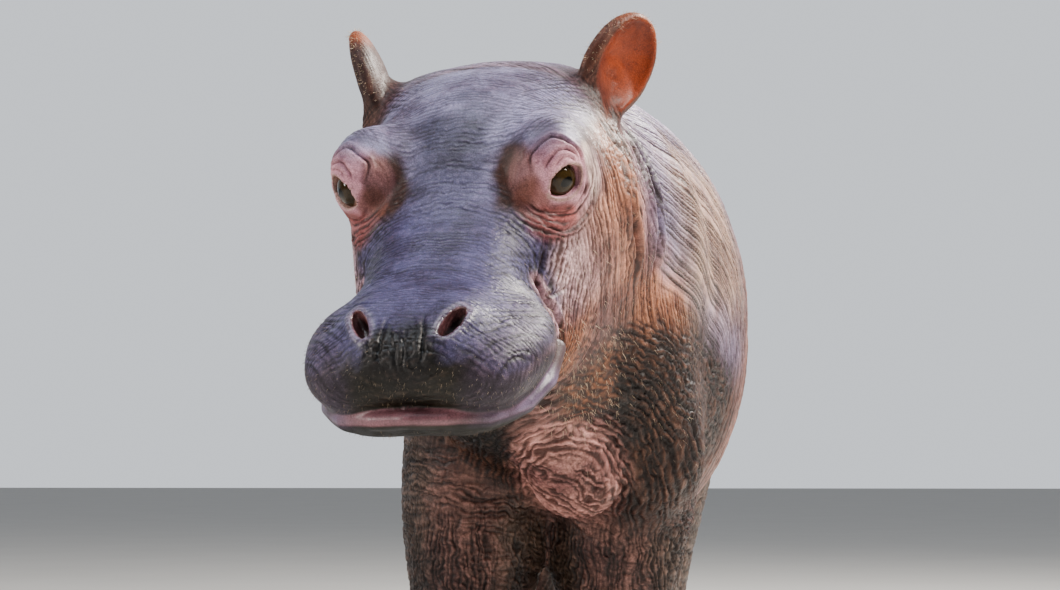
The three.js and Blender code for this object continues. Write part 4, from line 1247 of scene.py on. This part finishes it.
def bristles(skin, moved):
    """Fine bristles, as slender cones that curve over along the skin."""
    chance = np.random.default_rng(SEED)
    weights = bristle_masks(skin)
    places, sizes = [], []
    for name, count, short, long, thick, lean, pale in BRISTLES:
        weight = weights[name]
        places.append(chance.choice(len(moved), count, p=weight / weight.sum()))
        length = chance.uniform(short, long, count)
        sizes.append(np.stack([length, *np.full((3, count), [[thick], [lean], [pale]])], -1))
    rows, size = np.concatenate(places), np.concatenate(sizes)
    normal = skin.normals[rows]
    # They lie downwards and away from between the eyes.
    lie = -UP + 0.5 * (skin.points[rows] - EYES_AT) / 200 + chance.normal(0, 0.5, normal.shape)
    lie -= normal * (lie * normal).sum(-1, keepdims=True)
    lie /= np.linalg.norm(lie, axis=-1, keepdims=True)
    across = np.cross(normal, lie)
    length, thick, lean, pale = size.T[:, :, None]
    rings = []
    for t in np.linspace(0, 1, BRISTLE_RINGS):
        over = lean * (0.35 * t + 0.65 * t ** 2)
        middle = moved[rows] + length * (t * (1 - 0.5 * lean) * normal + over * lie) - ROOT * normal
        radius = thick * (1 - TAPER * t)
        for angle in np.arange(BRISTLE_SIDES) * 2 * np.pi / BRISTLE_SIDES:
            rings.append(middle + radius * (np.cos(angle) * across + np.sin(angle) * lie))
    points = np.stack(rings, 1).reshape(-1, 3)
    per = BRISTLE_RINGS * BRISTLE_SIDES
    ends = [list(range(BRISTLE_SIDES))[::-1], list(range(per - BRISTLE_SIDES, per))]
    one = np.array(ring_faces(BRISTLE_RINGS, BRISTLE_SIDES) + ends)
    quads = (np.arange(len(rows))[:, None, None] * per + one).reshape(-1, 4)
    piece = mesh_of("bristles", points, quads)
    keep(piece, "pale", np.repeat(pale[:, 0] + chance.normal(0, 0.15, len(rows)), per))
    corner = np.stack([np.arange(per) // BRISTLE_SIDES / (BRISTLE_RINGS - 1),
                       np.arange(per) % BRISTLE_SIDES / (BRISTLE_SIDES - 1)], -1)
    flat = unwrapped(skin, rows)[:, None] + PATCH * (corner - 0.5)
    layer = piece.data.uv_layers.new(name="OFBake")
    layer.data.foreach_set("uv", flat.reshape(-1, 2)[quads.ravel()].astype(np.float32).ravel())
    return piece


# ---- eyes and nails

EYE_ROWS, EYE_SIDES = 40, 64
EYE_GAP = 0.3                     # between the eye and the lids' own ball
CORNEA, CORNEA_EDGE = 1.1, (0.75, 0.45)  # how far it stands out, and the angles where that begins
NAIL_ROWS, NAIL_SIDES = 14, 28
NAIL_RADII = (0.0093, 0.006, 0.0118)     # metres: across, outwards, up
NAIL_POWER = 0.8                  # under 1 is squarer than round
NAIL_RIDGES, NAIL_RIDGE = 9, 0.02
NAIL_LIFT = 0.0003                # metres, off the floor


def angles(heights, sides):
    """Two grids: the heights' angles, and the angles round, one row for each ring."""
    return np.meshgrid(heights, np.linspace(0, 2 * np.pi, sides, endpoint=False), indexing="ij")


def eyeball(name, side):
    """An eye with its clear front standing out, looking along the middle of the opening."""
    size = EYE_RADIUS - EYE_GAP
    tt, aa = angles(np.linspace(np.pi, 0, EYE_ROWS + 1)[1:-1], EYE_SIDES)
    radius = size + CORNEA * ramp(tt, *CORNEA_EDGE)
    ring = np.stack([radius * np.sin(tt) * np.cos(aa), radius * np.sin(tt) * np.sin(aa),
                     radius * np.cos(tt)], -1).reshape(-1, 3)
    points = np.vstack([ring, [(0, 0, size + CORNEA), (0, 0, -size)]])
    count, last = len(ring), len(ring) - EYE_SIDES
    caps = [[count, last + j, last + (j + 1) % EYE_SIDES] for j in range(EYE_SIDES)]
    caps += [[count + 1, (j + 1) % EYE_SIDES, j] for j in range(EYE_SIDES)]
    piece = placed(name, closed_mesh(name, EYE_ROWS - 1, EYE_SIDES, points * MM, caps))
    mirror = np.array([1, side, 1])
    gaze, long = (GAZE * mirror) @ AXES, (EYE_LONG * mirror) @ AXES
    basis = Matrix((long, np.cross(gaze, long), gaze)).transposed().to_4x4()
    basis.translation = centre_of(name.replace("ball", ""))
    piece.matrix_world = basis
    return piece


def squarish(s):
    return np.sign(s) * np.abs(s) ** NAIL_POWER


def nail(which, i):
    node = f"nail_{which[0]}_{i + 1}"
    _, out = toe_place(which, i)
    tt, aa = angles(np.linspace(-np.pi / 2, np.pi / 2, NAIL_ROWS), NAIL_SIDES)
    ridge = 1 + NAIL_RIDGE * np.sin(NAIL_RIDGES * aa)
    ways = (squarish(np.cos(tt)) * squarish(np.cos(aa)) * ridge,
            squarish(np.cos(tt)) * squarish(np.sin(aa)) * ridge, squarish(np.sin(tt)))
    points = centre_of(node) + sum(radius * way[..., None] * axis for radius, way, axis
                                   in zip(NAIL_RADII, ways, (np.cross(out, UP), out, UP)))
    points = points.reshape(-1, 3)
    points[:, 2] = np.maximum(points[:, 2], NAIL_LIFT)
    caps = [list(range(NAIL_SIDES))[::-1],
            list(range(len(points) - NAIL_SIDES, len(points)))]
    mesh = closed_mesh("hoof_" + node, NAIL_ROWS, NAIL_SIDES, points, caps)
    return placed(node.replace("nail", "hoof"), mesh), node


# ---- assembly

def centre_of(node):
    low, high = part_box(node)
    return np.array((low + high) / 2)


# From the body's own frame, which the sizes above are in, to the row's.
SHIFT = centre_of("eye_left") - from_head(EYE_AT) * MM

skin_piece, hair_piece = make_skin()
flesh = [name for name in frame["nodes"] if not name.startswith(("eye", "nail"))]
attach(skin_piece, "root")
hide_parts(*sorted(flesh))
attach(hair_piece, "root")

eye_finish = eye_material()
for eye_name, eye_side in (("left", 1), ("right", -1)):
    ball = eyeball(f"eyeball_{eye_name}", eye_side)
    ball.data.materials.append(eye_finish)
    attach(ball, "root")
    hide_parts(f"eye_{eye_name}")

nail_finish = nail_material()
for leg_shape in LEGS:
    for toe_number in range(TOE_COUNT):
        hoof, nail_node = nail(leg_shape, toe_number)
        hoof.data.materials.append(nail_finish)
        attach(hoof, "root")
        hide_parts(nail_node)


# ---- stage, lights, camera

def stage_floor():
    bpy.ops.mesh.primitive_plane_add(size=40)
    floor = bpy.context.object
    floor.name = "floor"
    floor.data.materials.append(floor_material())


def aim(piece, at, way):
    piece.location = at
    piece.rotation_mode = "QUATERNION"
    piece.rotation_quaternion = way.to_track_quat("-Z", "Y")


def lamp(name, away, size, power, colour):
    """A round soft lamp, this far away from the chest and shining on it."""
    at = CHEST_AT + Vector(away)
    light = bpy.data.lights.new(name, "AREA")
    light.shape = "DISK"
    light.size = size
    light.energy = power
    light.color = colour
    aim(placed(name, light), at, CHEST_AT - at)


def world(colour, behind, around):
    """Even pale light, brightest behind the animal."""
    bpy.context.scene.world = bpy.data.worlds.new("studio")
    bpy.context.scene.world.use_nodes = True
    tree = bpy.context.scene.world.node_tree
    places = tree.nodes.new("ShaderNodeTexCoord")
    axes = tree.nodes.new("ShaderNodeSeparateXYZ")
    level = tree.nodes.new("ShaderNodeMapRange")
    for name, value in (("From Min", 0.1), ("From Max", 0.8), ("To Min", around), ("To Max", behind)):
        level.inputs[name].default_value = value
    background = tree.nodes["Background"]
    background.inputs["Color"].default_value = rgb(colour)
    tree.links.new(places.outputs["Generated"], axes.inputs[0])
    tree.links.new(axes.outputs["Y"], level.inputs["Value"])
    tree.links.new(level.outputs[0], background.inputs["Strength"])


def camera(at, azimuth, rise, lens):
    piece = placed("camera", bpy.data.cameras.new("camera"))
    a, e = math.radians(azimuth), math.radians(rise)
    aim(piece, at, Vector((-math.sin(a) * math.cos(e), math.cos(a) * math.cos(e), math.sin(e))))
    piece.data.sensor_width = 36
    piece.data.lens = lens
    bpy.context.scene.camera = piece


CHEST_AT = Vector((SHIFT[0], SHIFT[1] - 0.35, 0.42))
CAMERA_AT = Vector((0.128, -2.386, 0.29))  # in the body's own frame
WARM, SUNNY, COOL, SOFT = (1.0, 0.94, 0.86), (1.0, 0.93, 0.85), (0.84, 0.91, 1.0), (1.0, 0.93, 0.88)

stage_floor()
world("e6ebf2", 1.1, 0.14)
lamp("key", (2.2, -0.7, 2.2), 0.6, 190, WARM)
lamp("rim", (1.7, 1.5, 2.0), 0.6, 170, SUNNY)
lamp("sky", (-0.6, -1.2, 2.7), 2.0, 60, COOL)
lamp("side", (-2.6, -1.3, 0.7), 0.7, 42, SOFT)
camera(CAMERA_AT + Vector((SHIFT[0], SHIFT[1], 0)), 4, 4.2, 75.8)
